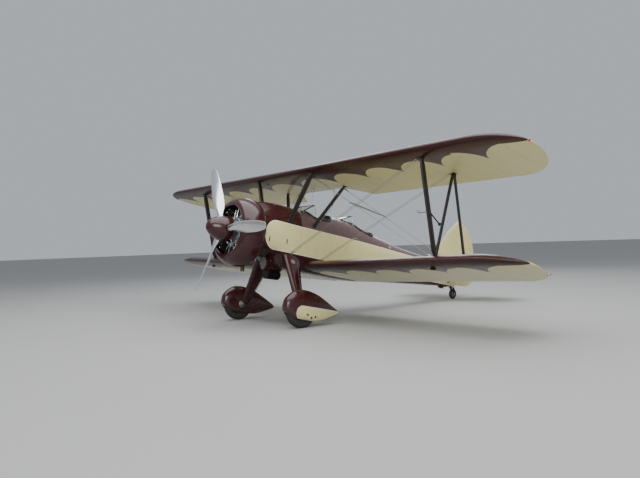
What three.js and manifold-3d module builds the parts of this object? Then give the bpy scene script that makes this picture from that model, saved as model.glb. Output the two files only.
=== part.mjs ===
// Two-seat tandem biplane, parked on its three wheels. Millimetres, +Z up.
// Shapes are written level, in the airframe's own axes: x to port, y aft from the propeller,
// z up from the thrust line. The exported group turns them to the parked attitude.
import * as THREE from "three";
import { mergeVertices } from "three/addons/utils/BufferGeometryUtils.js";
import Module from "manifold-3d";

const wasm = await Module();
wasm.setup();

const gap = 0.4; // between a piece and what it is seated on
const running = 6; // round the moving surfaces
const degrees = (a) => (a * Math.PI) / 180;

// Stance
const noseUp = degrees(11.69);
const wheel = { x: 989, y: 1111, z: -1215, radius: 305, halfWidth: 75 };
const tailWheel = { worldY: 6156, radius: 122 };
const rowShift = -3369; // puts the outline's middle over the origin

// Wings
const chord = 1524;
const upper = { y: 986, z: 1233, halfSpan: 4902, incidence: 4.5, dihedral: 0.3 };
const lower = { y: 1476, z: -407, halfSpan: 4750, incidence: 3.5, dihedral: 1.65 };
const tipLength = 760;
const tipWidest = 500; // the tip's widest point, behind the leading edge
const frontSpar = 253;
const rearSpar = 1027;
const centreHalf = 765;
const strutX = 3229;
const cutoutDepth = 400;
const cutoutHalf = 680; // half its width at the bottom
const cutoutEnd = 1150; // half its width at the trailing edge
const aileron = { from: 2330, to: 4020, hinge: 1190 };

// Tail
const rudderHinge = 6400;
const elevatorHinge = 6220;
const tailplaneZ = 250;

// Airframe sections: y, half width, top, bottom, widest height, top and bottom squareness
const sections = [
  [480, 500, 588, -318, 30, 2.1, 3.6],
  [700, 484, 634, -320, 20, 2.1, 3.8],
  [885, 468, 649, -328, 11, 2.2, 3.8],
  [1090, 452, 652, -512, 0, 2.3, 3.3],
  [1500, 440, 640, -512, 0, 2.4, 4],
  [2000, 436, 660, -515, 0, 2.4, 4],
  [2450, 434, 682, -515, 0, 2.5, 4],
  [2800, 428, 655, -505, 0, 2.4, 4],
  [3200, 410, 590, -470, 10, 2.3, 4],
  [3600, 380, 525, -420, 20, 2.2, 4],
  [4400, 302, 425, -340, 35, 2.1, 4],
  [5100, 226, 388, -268, 60, 2.1, 3.6],
  [5800, 150, 352, -205, 75, 2.2, 3.2],
  [6370, 62, 318, -150, 80, 2.4, 2.8],
];
const cowlJoint = 1090;
const tailJoint = 3600;

// Cockpit wells: front edge, rear edge, half width, floor
const wells = {
  front: { from: 1600, to: 2170, half: 300, floor: -290 },
  rear: { from: 2750, to: 3350, half: 275, floor: -290 },
};

// Windshields: foot of the front pane, its half width and slope, height of the top edge, and
// how far the side panes run back and out
const windshields = {
  front: { y: 1470, z: 612, half: 205, lean: 1.45, height: 170, back: 265, out: 60 },
  rear: { y: 2430, z: 655, half: 175, lean: 2.2, height: 125, back: 300, out: 50 },
};

// Shapes

function solid(points, faces) {
  let volume = 0;
  const at = points.map((p) => new THREE.Vector3(...p));
  for (const [a, b, c] of faces)
    volume += at[a].dot(at[b].clone().cross(at[c]));
  const turned = volume < 0 ? faces.map(([a, b, c]) => [a, c, b]) : faces;
  return new wasm.Manifold(
    new wasm.Mesh({
      numProp: 3,
      vertProperties: new Float32Array(points.flat()),
      triVerts: new Uint32Array(turned.flat()),
    }),
  );
}

function fromGeometry(geometry) {
  geometry.deleteAttribute("normal");
  geometry.deleteAttribute("uv");
  const merged = mergeVertices(geometry, 1e-3);
  return new wasm.Manifold(
    new wasm.Mesh({
      numProp: 3,
      vertProperties: merged.attributes.position.array,
      triVerts: new Uint32Array(merged.index.array),
    }),
  );
}

// Rings of equal length joined in order; a ring of one point is a tip. On a symmetric loft the
// faces of the starboard half are split the other way, so that the two halves match.
function loft(rings, closed = false, symmetric = false) {
  const points = rings.flat();
  const starts = rings.map((_, i) => rings.slice(0, i).flat().length);
  const faces = [];
  const joins = closed ? rings.length : rings.length - 1;
  for (let i = 0; i < joins; i++) {
    const j = (i + 1) % rings.length;
    const count = Math.max(rings[i].length, rings[j].length);
    for (let k = 0; k < count; k++) {
      const next = (k + 1) % count;
      const [a, b, c, d] = [
        starts[i] + (rings[i].length > 1 ? k : 0),
        starts[i] + (rings[i].length > 1 ? next : 0),
        starts[j] + (rings[j].length > 1 ? k : 0),
        starts[j] + (rings[j].length > 1 ? next : 0),
      ];
      if (symmetric && Math.cos((2 * Math.PI * (k + 1)) / count) < -1e-9) {
        faces.push([a, b, d], [a, d, c]);
        continue;
      }
      if (a !== b) faces.push([a, b, c]);
      if (c !== d) faces.push([b, d, c]);
    }
  }
  if (!closed)
    for (const [ring, flip] of [[0, true], [rings.length - 1, false]])
      for (let k = 1; k + 1 < rings[ring].length; k++) {
        const fan = [starts[ring], starts[ring] + k, starts[ring] + k + 1];
        faces.push(flip ? fan.reverse() : fan);
      }
  return solid(points, faces);
}

const placed = {
  x: (r, a, t) => [t, r * Math.cos(a), r * Math.sin(a)],
  y: (r, a, t) => [r * Math.cos(a), t, r * Math.sin(a)],
  z: (r, a, t) => [r * Math.cos(a), r * Math.sin(a), t],
};

// A profile of radius and distance along the axis, turned round that axis.
function turn(profile, axis, sides, closed = false) {
  return loft(
    profile.map(([r, t]) =>
      r === 0
        ? [placed[axis](0, 0, t)]
        : Array.from({ length: sides }, (_, k) =>
            placed[axis](r, (2 * Math.PI * (k + 0.5)) / sides, t),
          ),
    ),
    closed,
  );
}

function box(x0, x1, y0, y1, z0, z1) {
  const geometry = new THREE.BoxGeometry(x1 - x0, y1 - y0, z1 - z0);
  return fromGeometry(geometry).translate([(x0 + x1) / 2, (y0 + y1) / 2, (z0 + z1) / 2]);
}

// An outline drawn in the plan view, extruded upward.
function plan(outline, z0, z1) {
  const shape = new THREE.Shape(outline.map((p) => new THREE.Vector2(...p)));
  const geometry = new THREE.ExtrudeGeometry(shape, {
    depth: z1 - z0,
    bevelEnabled: false,
  });
  return fromGeometry(geometry).translate([0, 0, z0]);
}

// Axes across a line from a to b, the first as near as can be to straight aft.
function across(a, b) {
  const along = new THREE.Vector3(...b).sub(new THREE.Vector3(...a)).normalize();
  const aft = new THREE.Vector3(0, 1, 0);
  if (Math.abs(along.y) > 0.9) aft.set(0, 0, 1);
  aft.addScaledVector(along, -aft.dot(along)).normalize();
  return [aft, new THREE.Vector3().crossVectors(along, aft)];
}

function ringAt(centre, [u, v], outline) {
  return outline.map(([p, q]) =>
    new THREE.Vector3(...centre).addScaledVector(u, p).addScaledVector(v, q).toArray(),
  );
}

function rod(a, b, radius, sides = 10) {
  const outline = Array.from({ length: sides }, (_, k) => {
    const turnAngle = (2 * Math.PI * (k + 0.5)) / sides;
    return [radius * Math.cos(turnAngle), radius * Math.sin(turnAngle)];
  });
  const axes = across(a, b);
  return loft([ringAt(a, axes, outline), ringAt(b, axes, outline)]);
}

const streamline = [
  [-0.5, 0], [-0.42, 0.32], [-0.15, 0.5], [0.2, 0.36], [0.5, 0.05],
  [0.5, -0.05], [0.2, -0.36], [-0.15, -0.5], [-0.42, -0.32],
];

// A streamlined bar; its chord and thickness may differ at the far end.
function strut(a, b, size, endSize = size) {
  const axes = across(a, b);
  const outline = ([c, t]) => streamline.map(([p, q]) => [p * c, q * t]);
  return loft([ringAt(a, axes, outline(size)), ringAt(b, axes, outline(endSize))]);
}

function join(...pieces) {
  return wasm.Manifold.union(pieces);
}

// Cuts a piece where it enters its neighbour, leaving the seating gap on the given side.
function seat(piece, neighbour, [x, y, z]) {
  return piece.subtract(neighbour.translate([x * gap, y * gap, z * gap]));
}

const mirrored = (piece) => piece.mirror([1, 0, 0]);

// A row of hinges on one axis: lugs with pins on the fixed piece, pockets in the moving one.
function hinges(a, b, places, noseRadius, towardFixed) {
  const line = new THREE.Vector3(...b).sub(new THREE.Vector3(...a));
  const along = line.clone().normalize();
  const at = (d) => new THREE.Vector3(...a).addScaledVector(along, d).toArray();
  const lugHalf = 5;
  const pinHalf = 24;
  const lugs = [];
  const pockets = [];
  for (const d of places) {
    const root = new THREE.Vector3(...at(d)).addScaledVector(
      new THREE.Vector3(...towardFixed), noseRadius + 30);
    const side = along.clone().multiplyScalar(lugHalf);
    const up = new THREE.Vector3().crossVectors(along, new THREE.Vector3(...towardFixed));
    const corner = (centre, s, u) =>
      centre.clone().addScaledVector(side, s).addScaledVector(up, u * 9).toArray();
    const ring = (s) => [
      corner(root, s, 1), corner(root, s, -1),
      corner(new THREE.Vector3(...at(d)), s, -1), corner(new THREE.Vector3(...at(d)), s, 1),
    ];
    lugs.push(loft([ring(-1), ring(1)]));
    lugs.push(rod(at(d - lugHalf), at(d + lugHalf), 10, 8));
    lugs.push(rod(at(d - pinHalf), at(d + pinHalf), 5, 8));
    pockets.push(rod(at(d - lugHalf - 5), at(d + lugHalf + 5), noseRadius + 8, 12));
    pockets.push(rod(at(d - pinHalf - 2), at(d + pinHalf + 2), 6, 8));
  }
  return { lugs: join(...lugs), pockets: join(...pockets) };
}

// Airframe

// Value of a section column at y, between the two nearest stations.
function sectionAt(y) {
  const past = sections.slice(1, -1).filter((s) => s[0] <= y).length;
  const [a, b] = [sections[past], sections[past + 1]];
  const share = (y - a[0]) / (b[0] - a[0]);
  return a.map((value, k) => value + (b[k] - value) * share);
}

// The section's outline at y, drawn in by a skin's thickness.
function sectionRing(y, inward = 0, sides = 24) {
  const row = sectionAt(y);
  const [half, top, bottom] = [row[1] - inward, row[2] - inward, row[3] + inward];
  const [wide, topPower, bottomPower] = row.slice(4);
  return Array.from({ length: sides }, (_, k) => {
    const a = (2 * Math.PI * (k + 0.5)) / sides;
    const [c, s] = [Math.cos(a), Math.sin(a)];
    const power = 2 / (s > 0 ? topPower : bottomPower);
    const x = half * Math.sign(c) * Math.abs(c) ** power;
    const z = (s > 0 ? top - wide : wide - bottom) * Math.sign(s) * Math.abs(s) ** power;
    return [x, y, wide + z];
  });
}

function hull(from, to, inward = 0) {
  const inside = sections.map((s) => s[0]).filter((y) => y > from + 1 && y < to - 1);
  return loft([from, ...inside, to].map((y) => sectionRing(y, inward)), false, true);
}

const wholeHull = hull(sections[0][0], sections.at(-1)[0]);

function well({ from, to, half, floor }) {
  const corner = 110;
  return plan(
    [
      [-half + corner, from], [half - corner, from], [half, from + corner],
      [half, to - corner], [half - corner, to], [-half + corner, to],
      [-half, to - corner], [-half, from + corner],
    ],
    floor,
    900,
  );
}

const noseSkin = 20;
const accessoryCowl = hull(sections[0][0], cowlJoint - gap).subtract(
  hull(sections[0][0], cowlJoint, noseSkin),
);
const forwardHull = hull(cowlJoint, tailJoint - gap)
  .subtract(well(wells.front))
  .subtract(well(wells.rear));

// Wings, from root to tip

// Aerofoil: share of chord, height above and below the chord line in shares of chord
const aerofoil = [
  [0, 0, 0], [0.015, 0.025, -0.016], [0.06, 0.054, -0.03], [0.16, 0.079, -0.04],
  [0.32, 0.087, -0.042], [0.52, 0.073, -0.034], [0.76, 0.041, -0.018], [1, 0.004, -0.003],
];

// The point of a wing at span x, distance c behind the leading edge and height t above the chord.
function wingPoint(wing, x, c, t = 0) {
  const tilt = degrees(wing.incidence);
  return [
    x,
    wing.y + c * Math.cos(tilt) + t * Math.sin(tilt),
    wing.z + Math.abs(x) * Math.tan(degrees(wing.dihedral)) - c * Math.sin(tilt) + t * Math.cos(tilt),
  ];
}

function wingRing(wing, x) {
  const into = Math.max(0, x - (wing.halfSpan - tipLength)) / tipLength;
  const round = Math.sqrt(Math.max(0, 1 - into * into));
  const front = tipWidest * (1 - round);
  const length = tipWidest + (chord - tipWidest) * round - front;
  const thick = length * (0.45 + 0.55 * round);
  const at = ([share, , ], height) => wingPoint(wing, x, front + share * length, height * thick);
  const top = aerofoil.map((row) => at(row, row[1])).reverse();
  const bottom = aerofoil.slice(1).map((row) => at(row, row[2]));
  return [...top, ...bottom];
}

function wingSolid(wing, from, to) {
  const tipStart = wing.halfSpan - tipLength;
  const stations = [from];
  if (to > tipStart) {
    stations.push(tipStart);
    for (const share of [0.35, 0.6, 0.78, 0.9, 0.965, 0.995])
      stations.push(tipStart + tipLength * share);
  } else stations.push(to);
  return loft(stations.map((x) => wingRing(wing, x)));
}

const upperEdge = upper.y + chord;
const cutout = plan(
  [
    [-cutoutHalf, upperEdge - cutoutDepth], [cutoutHalf, upperEdge - cutoutDepth],
    [cutoutEnd, upperEdge + 10], [-cutoutEnd, upperEdge + 10],
  ],
  upper.z - 400,
  upper.z + 300,
);

function centreSection() {
  const half = centreHalf - gap / 2;
  const whole = loft([-half, 0, half].map((x) => wingRing(upper, Math.abs(x)).map((p) => [x, p[1], p[2]])));
  return whole.subtract(cutout);
}

const upperPanel = wingSolid(upper, centreHalf + gap / 2, upper.halfSpan).subtract(cutout);
const centrePanel = centreSection();
const upperWhole = join(
  centrePanel, wingSolid(upper, centreHalf - 5, upper.halfSpan).subtract(cutout),
  mirrored(wingSolid(upper, centreHalf - 5, upper.halfSpan).subtract(cutout)),
);

const lowerFull = wingSolid(lower, 330, lower.halfSpan);

// Half the depth of the wing at the hinge line, and the height of its middle.
const hingeDepth = (() => {
  const share = aileron.hinge / chord;
  const [a, b] = [aerofoil[6], aerofoil[7]];
  const s = (share - a[0]) / (b[0] - a[0]);
  const top = (a[1] + (b[1] - a[1]) * s) * chord;
  const bottom = (a[2] + (b[2] - a[2]) * s) * chord;
  return { radius: (top - bottom) / 2 - 1, middle: (top + bottom) / 2 };
})();

function aileronBox(grow) {
  const corner = (x, c, t) => wingPoint(lower, x, c, t);
  const ring = (x) => [
    corner(x, aileron.hinge, -150), corner(x, aileron.hinge, 150),
    corner(x, chord + 60, 150), corner(x, chord + 60, -150),
  ];
  return loft([ring(aileron.from - grow), ring(aileron.to + grow)]);
}

const hingeAt = (x) => wingPoint(lower, x, aileron.hinge, hingeDepth.middle);
const aileronHinges = hinges(
  hingeAt(aileron.from), hingeAt(aileron.to), [250, 1440], hingeDepth.radius,
  [0, -1, 0],
);
const aileronNose = (grow) =>
  rod(hingeAt(aileron.from - grow), hingeAt(aileron.to + grow), hingeDepth.radius + grow, 14);
const aileronPiece = join(lowerFull.intersect(aileronBox(0)), aileronNose(0))
  .subtract(aileronHinges.pockets);

// Tie-down pad under the lower wing's front spar
const pad = { half: 30, depth: 26 };
const padAt = wingPoint(lower, strutX, frontSpar, -0.041 * chord);
const tieDown = box(
  padAt[0] - pad.half, padAt[0] + pad.half, padAt[1] - pad.half, padAt[1] + pad.half,
  padAt[2] - pad.depth, padAt[2] + 30,
);

const lowerPanel = seat(
  join(
    lowerFull.subtract(aileronBox(running)).subtract(aileronNose(running)),
    aileronHinges.lugs,
    tieDown,
  ),
  wholeHull,
  [1, 0, 0],
);

// Struts and wires

const betweenWings = (piece) =>
  seat(seat(piece, upperWhole, [0, 0, -1]), lowerFull, [0, 0, 1]);

function interplaneStrut() {
  const up = (c) => wingPoint(upper, strutX, c, 20);
  const down = (c) => wingPoint(lower, strutX, c, 0);
  const front = strut(down(frontSpar), up(frontSpar), [105, 42]);
  const rear = strut(down(rearSpar), up(rearSpar), [66, 30]);
  const diagonal = strut(down(frontSpar + 30), up(rearSpar - 30), [66, 30]);
  return betweenWings(join(front, rear, diagonal));
}

// Cabane struts: foot x, y, z, then the head's x and distance behind the leading edge,
// chord and thickness
const cabanes = {
  cabane_front: [410, 1066, 330, 825, 115, 105, 40],
  cabane_rear: [380, 1635, 350, 865, 870, 80, 36],
};
const cabaneSolid = ([x, y, z, headX, behind, c, t]) =>
  seat(
    seat(strut([x, y, z], wingPoint(upper, headX, behind, 10), [c, t]), upperWhole, [0, 0, -1]),
    wholeHull,
    [1, 0, 1],
  );

const gearLeg = { top: [348, 1196, -190], foot: [892, 1177, -1215] };
const gearLegBar = strut(gearLeg.top, gearLeg.foot, [396, 104], [147, 93]);

const wireRadius = 5;
const flyingFeet = { flying_wire_front: [400, 1170, -222], flying_wire_rear: [400, 1850, -262] };
const flyingTopX = strutX - 75;
const flyingWire = (foot, spar) =>
  seat(
    seat(rod(foot, wingPoint(upper, flyingTopX, spar, 0), wireRadius, 6), upperWhole, [0, 0, -1]),
    join(wholeHull, gearLegBar),
    [1, 0, 1],
  );

const landingTopX = 700;
function landingWires() {
  const top = (spar) => wingPoint(upper, landingTopX, spar, 0);
  const foot = (spar) => wingPoint(lower, strutX - 75, spar, 20);
  const share = 0.37;
  const on = (spar) => top(spar).map((value, k) => value + (foot(spar)[k] - value) * share);
  const [front, rear] = [on(frontSpar), on(rearSpar)];
  const past = (a, b, s) => a.map((value, k) => value + (b[k] - value) * s);
  const spreader = rod(past(front, rear, -0.08), past(front, rear, 1.08), 11, 8);
  return betweenWings(
    join(
      rod(top(frontSpar), foot(frontSpar), wireRadius, 6),
      rod(top(rearSpar), foot(rearSpar), wireRadius, 6),
      spreader,
    ),
  );
}

// Nose

const bladeAngles = [0, 120, 240];
const bladePlane = -35; // the blades' own plane, along the shaft
const shaftRadius = 46;
const shankRadius = 60;

function spinner() {
  const outside = [
    [0, -360], [60, -343], [118, -295], [168, -220], [204, -130], [222, -40], [226, 45],
  ];
  const hollow = [[208, 45], [194, -70], [150, -190], [116, -190], [116, 45]];
  const bore = [[shaftRadius + 1.2, 45], [shaftRadius + 1.2, 0], [0, 0]];
  const pockets = bladeAngles.map((a) => {
    const out = (r) => placed.y(r, degrees(a), bladePlane);
    return rod(out(94.6), out(300), shankRadius + 2.4, 14);
  });
  return turn([...outside, ...hollow, ...bore], "y", 22).subtract(join(...pockets));
}

// Blade stations: radius, chord, thickness, twist from the plane of rotation in degrees
const bladeStations = [
  [95, 120, 120, 50], [225, 120, 120, 50], [330, 140, 84, 46], [480, 190, 48, 39],
  [700, 212, 30, 31], [950, 198, 20, 25], [1150, 162, 13, 21], [1260, 112, 9, 19],
  [1300, 46, 5, 18],
];

function blade(angle) {
  const a = degrees(angle);
  const rings = bladeStations.map(([r, c, t, twist]) => {
    const b = degrees(twist);
    const lead = new THREE.Vector3(-Math.sin(a) * Math.cos(b), -Math.sin(b), Math.cos(a) * Math.cos(b));
    const face = new THREE.Vector3(Math.sin(a) * Math.sin(b), -Math.cos(b), -Math.cos(a) * Math.sin(b));
    const outline = Array.from({ length: 10 }, (_, k) => {
      const s = (2 * Math.PI * (k + 0.5)) / 10;
      return [(c / 2) * Math.cos(s), (t / 2) * Math.sin(s)];
    });
    return ringAt(placed.y(r, a, bladePlane), [lead, face], outline);
  });
  return loft(rings);
}

const cylinderY = 285;
const cylinderTop = 556;

// The profile of cooling fins between two heights: thin rings of the outer radius on a core.
function fins(from, to, core, outer) {
  const count = Math.round((to - from) / 36);
  const pitch = (to - from) / count;
  return Array.from({ length: count }, (_, k) => from + k * pitch).flatMap((h) => [
    [core, h + 1], [core, h + pitch - 11], [outer, h + pitch - 10], [outer, h + pitch],
  ]);
}

function engine() {
  const casing = turn(
    [
      [0, 0.6], [shaftRadius, 0.6], [shaftRadius, 74], [78, 78], [100, 112], [150, 150],
      [245, 178], [262, 205], [262, 395], [170, 430], [170, cowlJoint - gap], [0, cowlJoint - gap],
    ],
    "y",
    18,
  );
  const pieces = [casing];
  for (let k = 0; k < 9; k++) {
    const a = degrees(90 + 40 * k);
    const tilt = new THREE.Matrix4().makeRotationY(-a + Math.PI / 2);
    const barrel = turn(
      [
        [0, 240], [60, 240], ...fins(262, 424, 60, 72), ...fins(424, 530, 66, 86),
        [60, cylinderTop], [0, cylinderTop],
      ],
      "z",
      10,
    );
    const rods = [-1, 1].map((side) =>
      rod([34 * side, -100, 215], [48 * side, -74, 500], 9, 5));
    const rockers = [-1, 1].map((side) =>
      box(48 * side - 25, 48 * side + 25, -100, -30, 474, 540));
    pieces.push(
      join(barrel, ...rods, ...rockers)
        .translate([0, cylinderY, 0])
        .transform(tilt.elements),
    );
  }
  return join(...pieces);
}

function cowling() {
  const skin = turn(
    [
      [437, 72], [446, 60], [472, 56], [515, 74], [556, 112], [590, 180], [610, 300],
      [605, 400], [577, 472], [566, 466], [593, 395], [598, 300], [580, 190], [545, 126],
      [505, 90], [468, 76], [446, 84],
    ],
    "y",
    28,
    true,
  );
  const feet = Array.from({ length: 9 }, (_, k) => {
    const a = degrees(90 + 40 * k);
    return rod(placed.y(cylinderTop + gap, a, cylinderY), placed.y(600, a, cylinderY), 16, 6);
  });
  return join(skin, ...feet);
}

function oilCooler() {
  const oval = (y, z, h, w) => Array.from({ length: 16 }, (_, k) => {
    const a = (2 * Math.PI * (k + 0.5)) / 16;
    return [w * Math.cos(a), y, z + h * Math.sin(a)];
  });
  const scoop = loft([oval(880, -450, 130, 100), oval(1010, -450, 140, 108), oval(1270, -440, 120, 100)]);
  const core = loft([oval(965, -640, 88, 100), oval(1245, -632, 84, 96)]);
  return seat(join(scoop, core), wholeHull, [0, 0, -1]);
}

const exhaustStub = seat(
  rod([-205, 560, -270], [-205, 600, -655], 38, 12), wholeHull, [0, 0, -1]);

// Cockpits

// A raked front pane and two side panes. They stand on the deck and end at an upright rear edge.
function windshield({ y, z, half, lean, height, back, out }) {
  const t = 9;
  const long = 3 * back;
  const wide = half + 3 * out;
  const outline = [
    [-wide, y + long], [-half, y], [half, y], [wide, y + long],
    [wide - t, y + long + 3], [half - t * 0.8, y + t], [-half + t * 0.8, y + t],
    [-wide + t, y + long + 3],
  ];
  const sheet = plan(outline, z - 330, z + height);
  const slope = new THREE.Matrix4().set(1, 0, 0, 0, 0, 1, lean, -lean * z, 0, 0, 1, 0, 0, 0, 0, 1);
  const upright = sheet.transform(slope.elements).subtract(
    box(-900, 900, y + back, y + 4 * long, z - 500, z + 500));
  return seat(upright, wholeHull, [0, 0, 1]);
}

function cockpitSeat({ from, to, floor }) {
  const back = to - 70;
  const front = back - 400;
  const half = 205;
  const top = floor + 230;
  return join(
    box(-half, half, front, back, top, top + 60),
    box(-half, half, back - 50, back, top, top + 520),
    box(-half, -half + 24, front + 120, back, top, top + 190),
    box(half - 24, half, front + 120, back, top, top + 190),
    box(-150, 150, front + 60, back - 40, floor + gap, top + 10),
  );
}

// Landing gear

// Wheel pant sections: y, height of the widest line, reach above and below it, half width
const pantSections = [
  [750, -1165, 86, 75, 55], [800, -1165, 151, 130, 92], [870, -1163, 213, 185, 114],
  [980, -1160, 267, 215, 131], [1110, -1160, 282, 222, 137], [1260, -1163, 274, 224, 136],
  [1420, -1168, 245, 215, 126], [1600, -1175, 181, 168, 100], [1780, -1182, 107, 92, 58],
  [1920, -1186, 41, 32, 22],
];
const pantTopPower = 2.2;
const pantSkirtPower = 4.5;

const pantOutside = loft([
  [[wheel.x, 736, -1165]],
  ...pantSections.map(([y, z, up, down, w]) =>
    Array.from({ length: 20 }, (_, k) => {
      const a = (2 * Math.PI * (k + 0.5)) / 20;
      const [c, s] = [Math.cos(a), Math.sin(a)];
      const power = 2 / (s > 0 ? pantTopPower : pantSkirtPower);
      return [
        wheel.x + w * Math.sign(c) * Math.abs(c) ** power, y,
        z + (s > 0 ? up : down) * Math.sign(s) * Math.abs(s) ** power,
      ];
    })),
  [[wheel.x, 1967, -1187]],
]);

function wheelPant() {
  const [deep, wide] = [wheel.radius + 15, wheel.halfWidth + 9];
  const shoulder = deep - 30;
  const inner = wide - 29;
  const bay = join(
    turn(
      [[0, -wide], [shoulder, -wide], [deep, -inner], [deep, inner], [shoulder, wide], [0, wide]],
      "x",
      20,
    ),
    box(-wide, wide, -shoulder, shoulder, -500, 0),
    box(-inner, inner, -deep, deep, -500, 0),
    turn([[0, -116], [26, -116], [26, 116], [0, 116]], "x", 12),
  ).translate([wheel.x, wheel.y, wheel.z]);
  return pantOutside.subtract(bay);
}

const gearLegSolid = seat(
  seat(gearLegBar, wholeHull, [1, 0, 0]),
  pantOutside,
  [-1, 0, 0],
);

const atWheel = (piece) => piece.translate([wheel.x, wheel.y, wheel.z]);
const axle = atWheel(turn([[0, -115.6], [25, -115.6], [25, 115.6], [0, 115.6]], "x", 12));
const tyre = atWheel(
  turn(
    [
      [188, -54], [205, -64], [244, -75], [284, -62], [305, -22], [305, 22], [284, 62],
      [244, 75], [205, 64], [188, 54],
    ],
    "x",
    28,
    true,
  ),
);
const rim = atWheel(
  turn(
    [
      [25.7, -72], [62, -72], [62, -34], [152, -34], [187, -62], [187, 62], [152, 34],
      [62, 34], [62, 72], [25.7, 72],
    ],
    "x",
    28,
    true,
  ),
);

// Tail surfaces

// Upright tail outline: height, front edge, rear edge
const finOutline = [
  [-95, 5300, 6660], [-70, 5300, 6830], [10, 5300, 6990], [150, 5300, 7105], [300, 5300, 7145],
  [440, 5480, 7143], [610, 5622, 7075], [830, 5765, 6985], [1015, 5900, 6910],
  [1160, 6025, 6822], [1290, 6160, 6680], [1380, 6250, 6520], [1432, 6315, 6440],
];
const finHalf = 30; // half thickness at the rudder hinge

// Tailplane outline: span, front edge, rear edge
const planeOutline = [
  [60, 5560, 6890], [500, 5680, 6890], [1000, 5815, 6880], [1300, 5905, 6840],
  [1480, 5985, 6740], [1570, 6060, 6600], [1612, 6130, 6420],
];
const planeHalf = 27;

// Across a tail surface: share of the way from edge to hinge or hinge to edge, share of thickness
const frontShape = [[0, 0.12], [0.08, 0.42], [0.4, 0.8], [1, 1]];
const rearShape = [[0.55, 0.55], [1, 0.14]];

function tailRing(front, hinge, rear, half) {
  const points = [
    ...frontShape.map(([s, t]) => [front + (hinge - front) * s, half * t]),
    ...rearShape.map(([s, t]) => [hinge + (rear - hinge) * s, half * t]),
  ];
  return [...points, ...points.map(([y, t]) => [y, -t]).reverse()];
}

const uprightTail = loft(
  finOutline.map(([z, front, rear]) =>
    tailRing(front, rudderHinge, rear, finHalf).map(([y, t]) => [t, y, z])),
);
const flatTail = loft(
  planeOutline.map(([x, front, rear]) =>
    tailRing(front, elevatorHinge, rear, planeHalf).map(([y, t]) => [x, y, tailplaneZ + t])),
);

const rudderFoot = finOutline[0][0];
const rudderTop = finOutline.at(-1)[0];
const rudderHinges = hinges(
  [0, rudderHinge, 0], [0, rudderHinge, 1500], [60, 950], finHalf, [0, -1, 0]);
const rudderNose = (grow) =>
  rod([0, rudderHinge, rudderFoot - grow], [0, rudderHinge, rudderTop + grow], finHalf - 0.5 + grow, 12);
const rudder = join(
  uprightTail.intersect(box(-200, 200, rudderHinge, 7400, rudderFoot, rudderTop)),
  rudderNose(0),
).subtract(rudderHinges.pockets);

const behindRudder = join(
  box(-200, 200, rudderHinge, 7400, -400, 1700), rudderNose(running),
);

// The elevator's halves are joined by a tube that runs through the stern.
const tubeRadius = 17;
const torqueTube = rod([-130, elevatorHinge, tailplaneZ], [130, elevatorHinge, tailplaneZ], tubeRadius, 12);
const tubeBore = rod([-260, elevatorHinge, tailplaneZ], [260, elevatorHinge, tailplaneZ], tubeRadius + 6, 12);

const elevatorRoot = 118;
const elevatorNose = (grow) =>
  rod(
    [elevatorRoot - grow, elevatorHinge, tailplaneZ], [1612 + grow, elevatorHinge, tailplaneZ],
    planeHalf - 0.5 + grow, 12,
  );
const elevatorHinges = hinges(
  [0, elevatorHinge, tailplaneZ], [1612, elevatorHinge, tailplaneZ], [500, 1350], planeHalf, [0, -1, 0]);
// Inboard the elevator is cut away so that the rudder can swing.
const rudderRoom = plan(
  [[0, 6000], [elevatorRoot, 6000], [elevatorRoot, 6300], [400, 7000], [0, 7000]], -200, 900);
const elevatorHalf = join(
  flatTail.intersect(box(elevatorRoot, 1700, elevatorHinge, 7400, 0, 500)),
  elevatorNose(0).intersect(box(0, 1612, 6000, 7000, 0, 500)),
)
  .subtract(rudderRoom)
  .subtract(elevatorHinges.pockets);
const elevator = join(elevatorHalf, mirrored(elevatorHalf), torqueTube);

const stabiliser = seat(
  join(
    flatTail
      .intersect(box(60, 1700, 5300, elevatorHinge, 0, 500))
      .subtract(elevatorNose(running)),
    elevatorHinges.lugs,
  ),
  wholeHull,
  [1, 0, 0],
).subtract(box(0, elevatorRoot + 6, elevatorHinge - 40, 6400, 0, 500));

const aftHull = hull(tailJoint, sections.at(-1)[0])
  .subtract(tubeBore)
  .subtract(behindRudder);

const fin = seat(
  join(uprightTail.subtract(behindRudder), rudderHinges.lugs),
  wholeHull,
  [0, 1, 1],
).intersect(box(-100, 100, 5000, 6600, 300, 1700));

// The lowest rudder hinge is carried by the stern, the others by the fin.
const sternHinge = rudderHinges.lugs.intersect(box(-60, 60, 6300, 6500, 0, 200));

const tailStrut = seat(
  seat(strut([60, 5985, -110], [900, 6040, tailplaneZ], [46, 20]), flatTail, [0, 0, -1]),
  wholeHull,
  [1, 0, 0],
);

// Tail wheel, set so that it touches the floor in the parked attitude.
const facetDip = 1.3; // the tyres' flat facets, which rest on the floor
const floorLift = wheel.radius - facetDip - (-wheel.y * Math.sin(noseUp) + wheel.z * Math.cos(noseUp));
function toLevel([x, worldY, worldZ]) {
  const z = worldZ - floorLift;
  return [
    x,
    worldY * Math.cos(noseUp) - z * Math.sin(noseUp),
    worldY * Math.sin(noseUp) + z * Math.cos(noseUp),
  ];
}
const upright = new THREE.Matrix4().makeRotationX(noseUp);
const tailAxle = toLevel([0, tailWheel.worldY, tailWheel.radius - facetDip]);

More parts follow.
